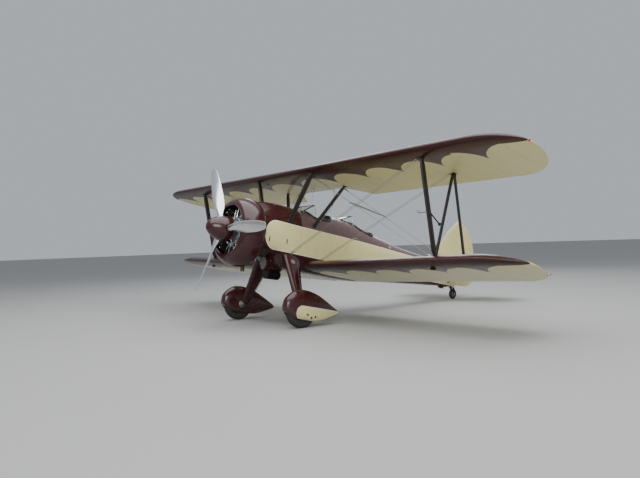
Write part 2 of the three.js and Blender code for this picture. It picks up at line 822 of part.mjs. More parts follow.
// Placed by its distance aft of and above the tail wheel's axle, upright when parked.
const atTail = (piece) => piece.transform(upright.elements).translate(tailAxle);
const caster = { back: -62, plate: 150 };
const tailTyre = atTail(
  turn(
    [
      [12.8, -26], [60, -26], [90, -30], [112, -22], [122, -8],
      [122, 8], [112, 22], [90, 30], [60, 26], [12.8, 26],
    ],
    "x",
    20,
    true,
  ),
);
const casterPin = 12;
const tailFork = atTail(
  join(
    box(-46, 46, caster.back - 40, 30, caster.plate - 14, caster.plate),
    ...[-1, 1].map((side) =>
      loft([
        [[36 * side, -20, -16], [36 * side, 20, -16], [46 * side, 20, -16], [46 * side, -20, -16]],
        [[36 * side, -40, caster.plate - 7], [36 * side, 28, caster.plate - 7],
          [46 * side, 28, caster.plate - 7], [46 * side, -40, caster.plate - 7]],
      ])),
    rod([-52, 0, 0], [52, 0, 0], 12, 12),
    rod([0, caster.back, caster.plate - 20], [0, caster.back, caster.plate + 14], 30, 16),
  ).subtract(
    rod([0, caster.back, caster.plate - 60], [0, caster.back, caster.plate + 60], casterPin + 0.8, 16),
  ),
);
const springSeat = [0, 5850, -215];
const springEnd = (() => {
  const lifted = new THREE.Vector3(0, caster.back, caster.plate + 26).applyMatrix4(upright);
  return lifted.add(new THREE.Vector3(...tailAxle)).toArray();
})();
const springOutline = [[-9, -34], [9, -34], [9, 34], [-9, 34]];
const springRing = (centre) =>
  ringAt(centre, [new THREE.Vector3(0, 0, 1), new THREE.Vector3(1, 0, 0)], springOutline);
const tailSpring = seat(
  join(
    loft([
      springRing(springSeat),
      springRing([0, springEnd[1] - 60, springEnd[2] + 4]),
      springRing([0, springEnd[1] + 40, springEnd[2] + 4]),
    ]),
    box(-50, 50, 5830, 5960, -235, -120),
    atTail(rod([0, caster.back, caster.plate - 30], [0, caster.back, caster.plate + 34], casterPin, 16)),
    atTail(rod([0, caster.back, caster.plate + 15], [0, caster.back, caster.plate + 40], 30, 16)),
    atTail(rod([0, caster.back, caster.plate - 34], [0, caster.back, caster.plate - 21], 20, 16)),
  ),
  wholeHull,
  [0, 0, -1],
);

// Assembly

const paints = {
  maroon: [0x4a1418, 0.3, 0.3],
  cream: [0xe6dcb4, 0.1, 0.5],
  dark: [0x1d1614, 0.2, 0.5],
  metal: [0xb8bcc0, 0.8, 0.35],
  castings: [0x6d7073, 0.6, 0.5],
  rubber: [0x17171a, 0, 0.9],
  leather: [0x5a3a28, 0, 0.7],
  glass: [0xcfe2ea, 0, 0.1],
};

const craft = new THREE.Group();
craft.name = "biplane";

function add(name, paint, made) {
  const mesh = made.getMesh();
  const positions = new Float32Array(mesh.numVert * 3);
  for (let i = 0; i < mesh.numVert; i++)
    positions.set(mesh.vertProperties.subarray(i * mesh.numProp, i * mesh.numProp + 3), i * 3);
  const geometry = new THREE.BufferGeometry()
    .setAttribute("position", new THREE.BufferAttribute(positions, 3))
    .setIndex(new THREE.BufferAttribute(new Uint32Array(mesh.triVerts), 1));
  geometry.computeVertexNormals();
  const [color, metalness, roughness] = paints[paint];
  const piece = new THREE.Mesh(
    geometry,
    new THREE.MeshStandardMaterial({ color, metalness, roughness }),
  );
  piece.name = name;
  craft.add(piece);
}

// Adds a port piece and its starboard mirror.
function addPair(name, paint, made) {
  add(name + "_port", paint, made);
  add(name + "_starboard", paint, mirrored(made));
}

add("spinner", "maroon", spinner());
bladeAngles.forEach((a, i) => add("propeller_blade_" + (i + 1), "metal", blade(a)));
add("engine", "castings", engine());
add("cowling", "maroon", cowling());
add("accessory_cowl", "maroon", accessoryCowl);
add("fuselage_forward", "maroon", forwardHull);
add("fuselage_aft", "maroon", join(aftHull, sternHinge));
add("windshield_front", "glass", windshield(windshields.front));
add("windshield_rear", "glass", windshield(windshields.rear));
add("seat_front", "leather", cockpitSeat(wells.front));
add("seat_rear", "leather", cockpitSeat(wells.rear));
add("wing_centre_section", "cream", centrePanel);
addPair("wing_upper", "cream", upperPanel);
addPair("wing_lower", "cream", lowerPanel);
addPair("aileron", "cream", aileronPiece);
addPair("interplane_strut", "dark", interplaneStrut());
for (const [name, row] of Object.entries(cabanes)) addPair(name, "dark", cabaneSolid(row));
addPair("flying_wire_front", "metal", flyingWire(flyingFeet.flying_wire_front, frontSpar));
addPair("flying_wire_rear", "metal", flyingWire(flyingFeet.flying_wire_rear, rearSpar));
addPair("landing_wires", "metal", landingWires());
addPair("gear_leg", "maroon", gearLegSolid);
addPair("wheel_pant", "maroon", wheelPant());
addPair("main_axle", "metal", axle);
addPair("main_tyre", "rubber", tyre);
addPair("main_rim", "metal", rim);
add("fin", "cream", fin);
add("rudder", "cream", rudder);
addPair("stabiliser", "cream", stabiliser);
add("elevator", "cream", elevator);
addPair("stabiliser_strut", "dark", tailStrut);
add("tail_spring", "dark", tailSpring);
add("tail_fork", "dark", tailFork);
add("tail_tyre", "rubber", tailTyre);
add("oil_cooler", "dark", oilCooler());
add("exhaust_stub", "castings", exhaustStub);

craft.rotation.x = -noseUp;
craft.position.set(0, rowShift, floorLift);

const biplane = new THREE.Group();
biplane.add(craft);
export default biplane;
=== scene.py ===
import math

import bmesh
import bpy
import numpy as np
from mathutils import Matrix, Vector


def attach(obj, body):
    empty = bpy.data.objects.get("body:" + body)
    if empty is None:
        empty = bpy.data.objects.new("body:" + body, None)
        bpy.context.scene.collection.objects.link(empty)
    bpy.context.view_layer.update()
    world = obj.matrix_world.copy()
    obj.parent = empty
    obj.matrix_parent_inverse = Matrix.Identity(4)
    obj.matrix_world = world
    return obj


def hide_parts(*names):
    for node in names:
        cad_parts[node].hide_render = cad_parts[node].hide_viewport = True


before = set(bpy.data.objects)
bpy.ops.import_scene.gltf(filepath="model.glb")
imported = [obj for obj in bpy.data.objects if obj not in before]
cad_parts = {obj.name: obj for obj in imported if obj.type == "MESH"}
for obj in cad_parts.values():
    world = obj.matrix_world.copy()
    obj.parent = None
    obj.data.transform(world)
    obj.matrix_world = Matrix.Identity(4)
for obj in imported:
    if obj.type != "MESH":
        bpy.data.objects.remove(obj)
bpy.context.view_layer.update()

NOSE_UP = math.radians(11.69)
ROW_SHIFT = -3.369
FLOOR_LIFT = 1.7186055
PARK = Matrix.Translation((0, ROW_SHIFT, FLOOR_LIFT)) @ Matrix.Rotation(-NOSE_UP, 4, "X")
TURN = 2 * math.pi

# Wings
CHORD = 1.524
UPPER = {"y": 0.986, "z": 1.233, "half": 4.902, "incidence": 4.5, "dihedral": 0.3}
LOWER = {"y": 1.476, "z": -0.407, "half": 4.750, "incidence": 3.5, "dihedral": 1.65}
TIP_LENGTH = 0.76
TIP_WIDEST = 0.5
FRONT_SPAR = 0.253
REAR_SPAR = 1.027
CENTRE_HALF = 0.765
STRUT_X = 3.229
WIRE_X = 3.154
WIRE_PLATE_X = 3.15
ROOT_WIRE_X = 0.70
RIB_PITCH = 0.3048
CUTOUT_DEPTH = 0.44
CUTOUT_HALF = 0.45  # half its width at the bottom
CUTOUT_END = 1.02  # half its width at the trailing edge
AILERON = {"from": 2.330, "to": 4.020, "hinge": 1.190, "radius": 0.0405, "middle": 0.016}
RUNNING = 0.006

# Aerofoil: share of chord, height above and below the chord line in shares of chord
AEROFOIL = [
    (0, 0, 0), (0.015, 0.025, -0.016), (0.06, 0.054, -0.03), (0.16, 0.079, -0.04),
    (0.32, 0.087, -0.042), (0.52, 0.073, -0.034), (0.76, 0.041, -0.018), (1, 0.004, -0.003),
]

# Fuselage sections: y, half width, top, bottom, widest height, top and bottom squareness
SECTIONS = [
    (0.480, 0.500, 0.588, -0.318, 0.030, 2.1, 3.6), (0.700, 0.484, 0.634, -0.320, 0.020, 2.1, 3.8),
    (0.885, 0.468, 0.649, -0.328, 0.011, 2.2, 3.8), (1.090, 0.452, 0.652, -0.512, 0.000, 2.3, 3.3),
    (1.500, 0.440, 0.640, -0.512, 0.000, 2.4, 4.0), (2.000, 0.436, 0.660, -0.515, 0.000, 2.4, 4.0),
    (2.450, 0.434, 0.682, -0.515, 0.000, 2.5, 4.0), (2.800, 0.428, 0.655, -0.505, 0.000, 2.4, 4.0),
    (3.200, 0.410, 0.590, -0.470, 0.010, 2.3, 4.0), (3.600, 0.380, 0.525, -0.420, 0.020, 2.2, 4.0),
    (4.400, 0.302, 0.425, -0.340, 0.035, 2.1, 4.0), (5.100, 0.226, 0.388, -0.268, 0.060, 2.1, 3.6),
    (5.800, 0.150, 0.352, -0.205, 0.075, 2.2, 3.2), (6.370, 0.062, 0.318, -0.150, 0.080, 2.4, 2.8),
]
COWL_JOINT = 1.090
TAIL_JOINT = 3.600
WELLS = {
    "front": {"from": 1.60, "to": 2.17, "half": 0.300, "floor": -0.29},
    "rear": {"from": 2.75, "to": 3.35, "half": 0.275, "floor": -0.29},
}
WELL_TOOL_TOP = 0.9  # above the deck everywhere

# Landing gear and tail
WHEEL = Vector((0.989, 1.111, -1.215))
RUDDER_HINGE = 6.400
ELEVATOR_HINGE = 6.220
TAILPLANE_Z = 0.250


def curve(table, at):
    """Follows the rows of a table (place, values...) smoothly, without overshoot, at new places."""
    table = np.asarray(table, float)
    x, y = table[:, 0], table[:, 1:]
    at = np.clip(np.asarray(at, float), x[0], x[-1])
    step = np.diff(x)[:, None]
    slope = np.diff(y, axis=0) / step
    left, right = slope[:-1], slope[1:]
    near, far = 2 * step[1:] + step[:-1], step[1:] + 2 * step[:-1]
    with np.errstate(divide="ignore", invalid="ignore"):
        inner = np.where(left * right > 0, (near + far) / (near / left + far / right), 0)
    tangent = np.vstack((slope[:1], inner, slope[-1:]))
    i = np.clip(np.searchsorted(x, at, side="right") - 1, 0, len(x) - 2)
    d = (x[i + 1] - x[i])[:, None]
    s = (at - x[i])[:, None] / d
    from_here = (1 + 2 * s) * (1 - s) ** 2 * y[i] + s * (1 - s) ** 2 * d * tangent[i]
    to_next = s * s * (3 - 2 * s) * y[i + 1] + s * s * (s - 1) * d * tangent[i + 1]
    return from_here + to_next


def follow(points, count):
    """A smooth line of count points through the given ones."""
    points = np.asarray(points, float)
    length = np.concatenate(([0], np.cumsum(np.linalg.norm(np.diff(points, axis=0), axis=1))))
    return curve(np.column_stack((length, points)), np.linspace(0, length[-1], count))


def ramp(value, low, high):
    """0 below low and 1 above high, with a smooth rise between."""
    s = np.clip((np.asarray(value, float) - low) / (high - low), 0, 1)
    return s * s * (3 - 2 * s)


def facing(origin, up, towards=(0, 1, 0)):
    """A matrix whose z axis is up, and whose y axis is as near as can be to towards."""
    z = Vector(up).normalized()
    y = Vector(towards)
    if abs(y.normalized().dot(z)) > 0.98:
        y = Vector((0, 0, 1)) if abs(z.z) < 0.9 else Vector((1, 0, 0))
    y = (y - z * y.dot(z)).normalized()
    x = y.cross(z)
    return Matrix.Translation(origin) @ Matrix((x, y, z)).transposed().to_4x4()


def moved(points, matrix):
    m = np.array(matrix)
    return np.asarray(points, float) @ m[:3, :3].T + m[:3, 3]


def mix(a, b, share):
    return np.asarray(a, float) + (np.asarray(b, float) - np.asarray(a, float)) * share


def rounded(half_x, half_y, corner, steps=4):
    """The outline of a rectangle with round corners."""
    ring = []
    for quarter in range(4):
        x = (half_x - corner) * (1 if quarter in (0, 3) else -1)
        y = (half_y - corner) * (1 if quarter < 2 else -1)
        for k in range(steps + 1):
            a = TURN / 4 * (quarter + k / steps)
            ring.append((x + corner * math.cos(a), y + corner * math.sin(a)))
    return np.array(ring)


def streamline(count=14):
    """The section of a strut, nose first, one side after the other, of length and width 1."""
    s = (1 - np.cos(np.linspace(0, math.pi, count))) / 2
    half = 5 * (0.2969 * np.sqrt(s) - 0.126 * s - 0.3516 * s**2 + 0.2843 * s**3 - 0.1036 * s**4)
    return np.vstack((np.column_stack((s - 0.5, half)), np.column_stack((s - 0.5, -half))[-2:0:-1]))


def at_height(ring, height):
    """A flat outline as points in space."""
    return np.column_stack((ring, np.full(len(ring), height)))


class Shape:
    """Points and faces of one piece. Each face has the number of its material, and each point
    may have a chart: its place on a wing as distance out, distance aft and side."""

    def __init__(self):
        self.points = []
        self.charts = []
        self.faces = []
        self.paints = []
        self.count = 0

    def add(self, points, faces, paint=0, chart=None):
        points = np.asarray(points, float).reshape(-1, 3)
        self.faces += [[k + self.count for k in face] for face in faces]
        self.paints += [paint] * len(faces)
        self.points.append(points)
        self.charts.append(np.zeros_like(points) if chart is None else np.reshape(chart, (-1, 3)))
        self.count += len(points)
        return self

    def skin(self, rows, paint=0, wrap=True, caps=(True, True), chart=None, matrix=None):
        rows = np.asarray(rows, float)
        n, m = rows.shape[:2]
        faces = []
        for i in range(n - 1):
            for k in range(m if wrap else m - 1):
                a, b = i * m + k, i * m + (k + 1) % m
                faces.append((a, b, b + m, a + m))
        if wrap and caps[0]:
            faces.append(tuple(range(m))[::-1])
        if wrap and caps[1]:
            faces.append(tuple(range((n - 1) * m, n * m)))
        points = rows.reshape(-1, 3)
        return self.add(points if matrix is None else moved(points, matrix), faces, paint, chart)

    def turn(self, profile, matrix, sides=48, closed=False, paint=0):
        """A profile of radius and height, turned about the matrix's z axis."""
        profile = list(profile) + ([profile[0]] if closed else [])
        a = np.arange(sides) * TURN / sides
        rows = [np.column_stack((r * np.cos(a), r * np.sin(a), np.full(sides, t))) for r, t in profile]
        return self.skin(rows, paint, caps=(not closed, not closed), matrix=matrix)

    def tube(self, path, radius, sides=10, paint=0, closed=False):
        path = np.asarray(path, float)
        if closed:
            ahead = np.roll(path, -1, axis=0) - np.roll(path, 1, axis=0)
            path, ahead = np.vstack((path, path[:1])), np.vstack((ahead, ahead[:1]))
        else:
            ahead = np.gradient(path, axis=0)
        radius = np.broadcast_to(radius, len(path))
        side = Vector(np.cross(ahead[0], (0.02, 0.03, 1))).normalized()
        a = np.arange(sides) * TURN / sides
        rows = []
        for point, along, r in zip(path, ahead, radius):
            along = Vector(along).normalized()
            side = (side - along * side.dot(along)).normalized()
            up = along.cross(side)
            rows.append(point + r * (np.outer(np.cos(a), side) + np.outer(np.sin(a), up)))
        if closed:
            rows[-1] = rows[0]
        return self.skin(rows, paint, caps=(not closed, not closed))

    def rod(self, a, b, radius, sides=12, paint=0):
        return self.tube([a, mix(a, b, 0.5), b], radius, sides, paint)

    def block(self, half, matrix, edge=0.003, corner=None, paint=0):
        """A box with softened edges, given by its half sizes."""
        corner = max(corner or edge, edge * 1.01)
        x, y, z = half
        rows = []
        for inset, height in ((edge, -z), (edge * 0.3, -z + edge * 0.3), (0, -z + edge),
                              (0, z - edge), (edge * 0.3, z - edge * 0.3), (edge, z)):
            ring = rounded(x - inset, y - inset, corner - inset)
            rows.append(at_height(ring, height))
        return self.skin(rows, paint, matrix=matrix)

    def bar(self, a, b, size, end_size=None, shares=((0, 1), (1, 1)), paint=0):
        """A streamlined bar. Each of shares is a place along it and a factor on its section."""
        end_size = size if end_size is None else end_size
        aft = facing((0, 0, 0), Vector(b) - Vector(a)).to_3x3()
        outline = streamline()
        rows = []
        for s, factor in shares:
            chord, thick = mix(size, end_size, s) * factor
            centre = mix(a, b, s)
            rows.append(centre + np.outer(outline[:, 0] * chord, aft.col[1])
                        + np.outer(outline[:, 1] * thick, aft.col[0]))
        return self.skin(rows, paint)

    def stud(self, place, normal, radius, height, sides=10, paint=0):
        profile = [(radius, -height), (radius, height * 0.5), (radius * 0.7, height * 0.9), (0, height)]
        return self.turn(profile, facing(place, normal), sides, paint=paint)

    def torus(self, matrix, radius, thick, sides=48, around=12, paint=0):
        ring = [(radius + thick * math.cos(k * TURN / around), thick * math.sin(k * TURN / around))
                for k in range(around)]
        return self.turn(ring, matrix, sides, closed=True, paint=paint)

    def join(self, other, matrix=None):
        for points, chart in zip(other.points, other.charts):
            self.points.append(points if matrix is None else moved(points, matrix))
            self.charts.append(chart)
        self.faces += [[k + self.count for k in face] for face in other.faces]
        self.paints += other.paints
        self.count += other.count
        return self

    def mirrored(self):
        made = Shape().join(self)
        made.points = [points * (-1, 1, 1) for points in made.points]
        return made

    def both(self):
        return self.join(self.mirrored())


MIRROR = {"port": lambda shape: shape, "starboard": lambda shape: shape.mirrored()}


SHARP_EDGE = 38  # degrees


def make_object(name, shape, sharp=SHARP_EDGE):
    mesh = bpy.data.meshes.new(name)
    points = moved(np.vstack(shape.points), PARK)
    mesh.from_pydata(points.tolist(), [], shape.faces)
    mesh.polygons.foreach_set("material_index", shape.paints)
    chart = np.vstack(shape.charts)
    if chart.any():
        attribute = mesh.attributes.new("chart", "FLOAT_VECTOR", "POINT")
        attribute.data.foreach_set("vector", chart.astype(np.float32).ravel())
    made = bmesh.new()
    made.from_mesh(mesh)
    bmesh.ops.remove_doubles(made, verts=made.verts, dist=2e-5)
    bmesh.ops.recalc_face_normals(made, faces=made.faces)
    made.to_mesh(mesh)
    made.free()
    mesh.shade_smooth()
    mesh.set_sharp_from_angle(angle=math.radians(sharp))
    piece = bpy.data.objects.new(name, mesh)
    bpy.context.scene.collection.objects.link(piece)
    return piece


def dress(piece, body, paints, nodes=()):
    """Gives a piece its materials, its body and the solids that it stands for."""
    for paint in paints:
        piece.data.materials.append(paint.made)
    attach(piece, body)
    if nodes:
        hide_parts(*nodes)
    return piece


def build(name, shape, body, paints, nodes=(), sharp=SHARP_EDGE):
    return dress(make_object(name, shape, sharp), body, paints, nodes)


def cut(piece, *shapes):
    """Takes shapes out of a piece. The new walls keep the shapes' material numbers."""
    for shape in shapes:
        tool = make_object("cutter", shape)
        change = piece.modifiers.new("cut", "BOOLEAN")
        change.operation = "DIFFERENCE"
        change.solver = "EXACT"
        change.object = tool
        change.material_mode = "INDEX"
        graph = bpy.context.evaluated_depsgraph_get()
        mesh = bpy.data.meshes.new_from_object(piece.evaluated_get(graph))
        piece.modifiers.remove(change)
        old = piece.data
        piece.data = mesh
        bpy.data.meshes.remove(old)
        bpy.data.objects.remove(tool)
    piece.data.shade_smooth()
    piece.data.set_sharp_from_angle(angle=math.radians(SHARP_EDGE))
    return piece


# Materials

MAROON = (0.041, 0.0082, 0.0090)
SKY_SHEEN_MAROON = (0.135, 0.085, 0.085)  # painted reflection: a paler maroon that stands for the sky's gloss on the upper sides behind the front seam
CREAM = (0.68, 0.62, 0.31)
IVORY = (0.84, 0.80, 0.60)
NEAR_BLACK = (0.016, 0.009, 0.009)
WEAVE = 4200  # radians per metre of the cloth's threads
TAIL_RIB_PITCH = 0.28


def arithmetic(operation, **options):
    """A method of Term that adds a node for the operation."""
    return lambda term, *others: term.work_out(operation, *others, **options)


class Term:
    """A number carried by a shader node, for use in ordinary arithmetic."""

    def __init__(self, paint, socket):
        self.paint = paint
        self.socket = socket

    def work_out(self, operation, *others, clamp=False):
        node = self.paint.tree.nodes.new("ShaderNodeMath")
        node.operation = operation
        node.use_clamp = clamp
        for place, value in zip(node.inputs, (self, *others)):
            self.paint.feed(place, value)
        return Term(self.paint, node.outputs[0])

    __add__ = arithmetic("ADD")
    __sub__ = arithmetic("SUBTRACT")
    __mul__ = arithmetic("MULTIPLY")
    __truediv__ = arithmetic("DIVIDE")
    __pow__ = arithmetic("POWER")
    at_least = arithmetic("MAXIMUM")
    at_most = arithmetic("MINIMUM")
    size = arithmetic("ABSOLUTE")
    part = arithmetic("FRACT")
    sine = arithmetic("SINE")
    plus_clamped = arithmetic("ADD", clamp=True)
    times_clamped = arithmetic("MULTIPLY", clamp=True)

    def inside(self, soft=0.0015):
        """1 where the number is below zero and 0 where it is above, with a soft edge."""
        return (self * (-1 / soft)).plus_clamped(0.5)

    def near(self, pitch):
        """Distance to the nearest whole multiple of the pitch."""
        return ((self / pitch + 0.5).part() - 0.5).size() * pitch


FIRST_COLOUR = 6  # a mix node's first colour socket


class Paint:
    """A material whose colours, gloss and relief come from arithmetic on the surface's own place."""

    def __init__(self, name, base, rough=0.4, **values):
        self.made = bpy.data.materials.new(name)
        self.made.use_nodes = True
        self.made.diffuse_color = (*base, 1)
        self.tree = self.made.node_tree
        self.shader = self.tree.nodes["Principled BSDF"]
        self.set("Base Color", base)
        self.set("Roughness", rough)
        for key, value in values.items():
            self.set(key.replace("_", " "), value)

    def feed(self, place, value):
        if isinstance(value, Term):
            self.tree.links.new(value.socket, place)
        elif isinstance(value, bpy.types.NodeSocket):
            self.tree.links.new(value, place)
        elif isinstance(value, tuple) and len(value) == 3 and len(place.default_value) == 4:
            place.default_value = (*value, 1)
        else:
            place.default_value = value

    def set(self, name, value):
        self.feed(self.shader.inputs[name], value)

    def node(self, kind, outlet, **inputs):
        node = self.tree.nodes.new(kind)
        for name, value in inputs.items():
            self.feed(node.inputs[name.replace("_", " ")], value)
        return node, node.outputs[outlet]

    def split(self, vector):
        node = self.tree.nodes.new("ShaderNodeSeparateXYZ")
        self.tree.links.new(vector, node.inputs[0])
        return [Term(self, outlet) for outlet in node.outputs]

    def level(self):
        """x to port, y aft and z up, in the airframe's level axes."""
        place = self.tree.nodes.new("ShaderNodeTexCoord").outputs["Object"]
        back = PARK.inverted()
        node, outlet = self.node("ShaderNodeMapping", "Vector", Vector=place)
        node.inputs["Location"].default_value = back.to_translation()
        node.inputs["Rotation"].default_value = back.to_euler()
        return outlet

    def chart(self):
        node = self.tree.nodes.new("ShaderNodeAttribute")
        node.attribute_name = "chart"
        return self.split(node.outputs["Vector"])

    def noise(self, scale, detail=3.0, rough=0.5, stretch=(1, 1, 1)):
        place = self.tree.nodes.new("ShaderNodeTexCoord").outputs["Object"]
        node, outlet = self.node("ShaderNodeMapping", "Vector", Vector=place)
        node.inputs["Scale"].default_value = stretch
        noise, value = self.node(
            "ShaderNodeTexNoise", "Fac", Vector=outlet, Scale=scale, Detail=detail, Roughness=rough)
        return Term(self, value)

    def blend(self, share, a, b):
        node = self.tree.nodes.new("ShaderNodeMix")
        node.data_type = "RGBA"
        self.feed(node.inputs["Factor"], share)
        self.feed(node.inputs[FIRST_COLOUR], a)
        self.feed(node.inputs[FIRST_COLOUR + 1], b)
        return node.outputs[2]

    def shade(self, colour, amount, share):
        """Darkens a colour by an amount where share is 1."""
        return self.blend(share * amount, colour, (0.0, 0.0, 0.0))

    def relief(self, height, depth, strength=1.0):
        """Adds relief of a depth in metres to what there is already."""
        node = self.tree.nodes.new("ShaderNodeBump")
        node.inputs["Distance"].default_value = depth
        node.inputs["Strength"].default_value = strength
        self.feed(node.inputs["Height"], height)
        normal = self.shader.inputs["Normal"]
        if normal.links:
            self.tree.links.new(normal.links[0].from_socket, node.inputs["Normal"])
        self.tree.links.new(node.outputs["Normal"], normal)
        return self


def gloss_paint(name, base, rough=0.24, coat=0.25, orange_peel=0.00012, **values):
    """Sprayed enamel: slow variation of colour, faint orange peel, dust in the gloss."""
    paint = Paint(name, base, rough, Coat_Weight=coat, Coat_Roughness=0.06, Specular_IOR_Level=0.4,
                  **values)
    cloud = paint.noise(2.3, 4)
    paint.set("Base Color", paint.shade(base, 0.22, cloud))
    paint.set("Roughness", paint.noise(9, 5) * 0.16 + (rough - 0.06))
    paint.relief(paint.noise(140, 2), orange_peel)
    return paint


def seam(paint, distance, width=0.003, depth=0.0015):
    """A dark groove where distance is near zero."""
    mask = (distance.size() - width / 2).inside(width / 2)
    paint.relief(mask * -1.0, depth)
    return mask


def cowl_paint():
    """The cowl's enamel, with its three joints and the bead round the rear edge."""
    paint = gloss_paint("cowl_enamel", MAROON, 0.18)
    x, y, z = paint.split(paint.level())
    joints = None
    for turn in (0.25, 0.25 + 1 / 3, 0.25 + 2 / 3):
        a = turn * TURN
        off = x * math.sin(a) - z * math.cos(a)
        away = off.size() + ((x * math.cos(a) + z * math.sin(a)) * -1.0).at_least(0)
        joints = away if joints is None else joints.at_most(away)
    line = seam(paint, joints, 0.004, 0.002)
    rear = seam(paint, y - 0.44, 0.004, 0.0015)
    dark = (line + rear).at_most(1)
    paint.set("Base Color", paint.shade(paint.shade(MAROON, 0.2, paint.noise(2.3, 4)), 0.75, dark))
    return paint


def band_distance(y, z):
    """Signed distance to the fuselage's cream band: round in front, narrowing aft."""
    taper = ((y - 2.5) / 3.9).times_clamped(1.0)
    centre = taper * 0.045 + 0.025
    half = taper * -0.045 + 0.260
    ahead = (y * -1.0 + 0.774).at_least(0)
    up = z - centre
    return (ahead * ahead + up * up) ** 0.5 - half


def fuselage_paint(name, fabric):
    """Maroon with the cream band and its ivory edge line, and a painted sky reflection on the upper sides
    behind the front seam; weave and tapes where it is fabric.
    """
    paint = Paint(name, MAROON, 0.26, Coat_Weight=0.2, Coat_Roughness=0.08, Specular_IOR_Level=0.4)
    x, y, z = paint.split(paint.level())
    d = band_distance(y, z)
    cloud = paint.noise(1.7, 4)
    maroon = paint.shade(MAROON, 0.25, cloud)
    # Painted reflection: the upper sides aft of y 1.345 and above z 0.22 turn paler maroon, standing for
    # the sky's gloss on the enamel
    painted_sheen = ((y - 1.345) * -1.0).inside(0.02) * ((z - 0.22) * -1.0).inside(0.03)
    maroon = paint.blend(painted_sheen * 0.75, maroon, SKY_SHEEN_MAROON)
    cream = paint.shade(CREAM, 0.07, cloud)
    colour = paint.blend(d.inside(), maroon, cream)
    edge = ((d + 0.006).size() - 0.006).inside()
    colour = paint.blend(edge, colour, IVORY)
    if fabric:
        tape = (y.near(0.46) - 0.02).inside(0.004)
        paint.relief(tape, 0.0005)
        paint.relief((x * WEAVE).sine() + (z * WEAVE).sine() + (y * WEAVE).sine(), 0.00005)
    else:
        lines = seam(paint, (y - 1.335).size().at_most((y - 2.46).size()).at_most((y - 3.49).size()),
                     0.003, 0.0012)
        along = seam(paint, z + 0.10, 0.003, 0.0012) * (y - 1.33).inside()
        lines = (lines + along).at_most(1)
        colour = paint.shade(colour, 0.45, lines)
    grime = (z + 0.35).inside(0.25) * paint.noise(7, 5)
    colour = paint.blend(grime * 0.5, colour, (0.035, 0.028, 0.024))
    paint.set("Base Color", colour)
    paint.set("Roughness", paint.noise(8, 5) * 0.2 + 0.17)
    paint.relief(paint.noise(130, 2), 0.00015)
    return paint


def wing_paint(name, first, pitch, cusp, depth, last, root):
    """Doped fabric: cream, with a scalloped maroon leading edge, rib tapes and stitching.
    first is the inmost cusp, and outboard of last the edge runs out to the tip."""
    paint = Paint(name, CREAM, 0.36, Coat_Weight=0.1, Coat_Roughness=0.15, Specular_IOR_Level=0.35)
    x, c, side = paint.chart()
    inner = x / first
    outer = ((x - first) / pitch).part()
    is_inner = (x - first).inside(0.002)
    u = inner * is_inner + outer * (is_inner * -1.0 + 1.0)
    lobe = ((u * 2 - 1) ** 2 * -1.0 + 1.0).at_least(0) ** 0.6
    out = (x - (last - pitch / 2)).inside(0.002)
    reach = out * depth + (out * -1.0 + 1.0) * (depth + 0.04)
    edge = lobe * reach * -1.0 + cusp
    beyond = (x * -1.0 + (last + pitch / 2)).inside(0.002)
    tip_edge = (x - (last + pitch / 2)) * 0.35 + (cusp - depth - 0.04)
    edge = edge * (beyond * -1.0 + 1.0) + tip_edge * beyond
    maroon = (c - edge).inside(0.004)
    cloud = paint.noise(1.4, 4)
    rib = x.near(RIB_PITCH)
    tape = (rib - 0.022).inside(0.004)
    stitches = (rib - 0.0025).inside(0.002) * (c.near(0.06) - 0.004).inside(0.003)
    cream = paint.shade(CREAM, 0.07, cloud)
    cream = paint.shade(cream, 0.05, tape)
    colour = paint.blend(maroon, cream, paint.shade(MAROON, 0.3, cloud))
    if root:
        walk = (x - 0.86).inside() * (side * -1.0 + 0.2).inside() * (c - 1.30).inside()
        walk = walk * ((c - 0.42) * -1.0).inside()
        colour = paint.blend(walk * (paint.noise(400, 1) * 0.3 + 0.7), colour, (0.02, 0.02, 0.02))
    paint.set("Base Color", colour)
    paint.set("Roughness", paint.noise(10, 5) * 0.18 + 0.22)
    fabric = ((c - 0.19) * -1.0).inside(0.01)
    paint.relief(tape * fabric, 0.0006)
    paint.relief(stitches * fabric, 0.0008)
    paint.relief((x * WEAVE).sine() + (c * WEAVE).sine(), 0.00005)
    return paint


def tail_paint():
    """Cream doped fabric with tapes over the tail's ribs."""
    paint = Paint("tail_fabric", CREAM, 0.36, Coat_Weight=0.1, Coat_Roughness=0.15, Specular_IOR_Level=0.35)
    along, aft, _ = paint.chart()
    tape = (along.near(TAIL_RIB_PITCH) - 0.018).inside(0.004)
    cloud = paint.noise(1.6, 4)
    colour = paint.shade(CREAM, 0.07, cloud)
    paint.set("Base Color", paint.shade(colour, 0.05, tape))
    paint.set("Roughness", paint.noise(10, 5) * 0.18 + 0.24)
    paint.relief(tape, 0.0006)
    paint.relief((along * WEAVE).sine() + (aft * WEAVE).sine(), 0.00005)
    return paint


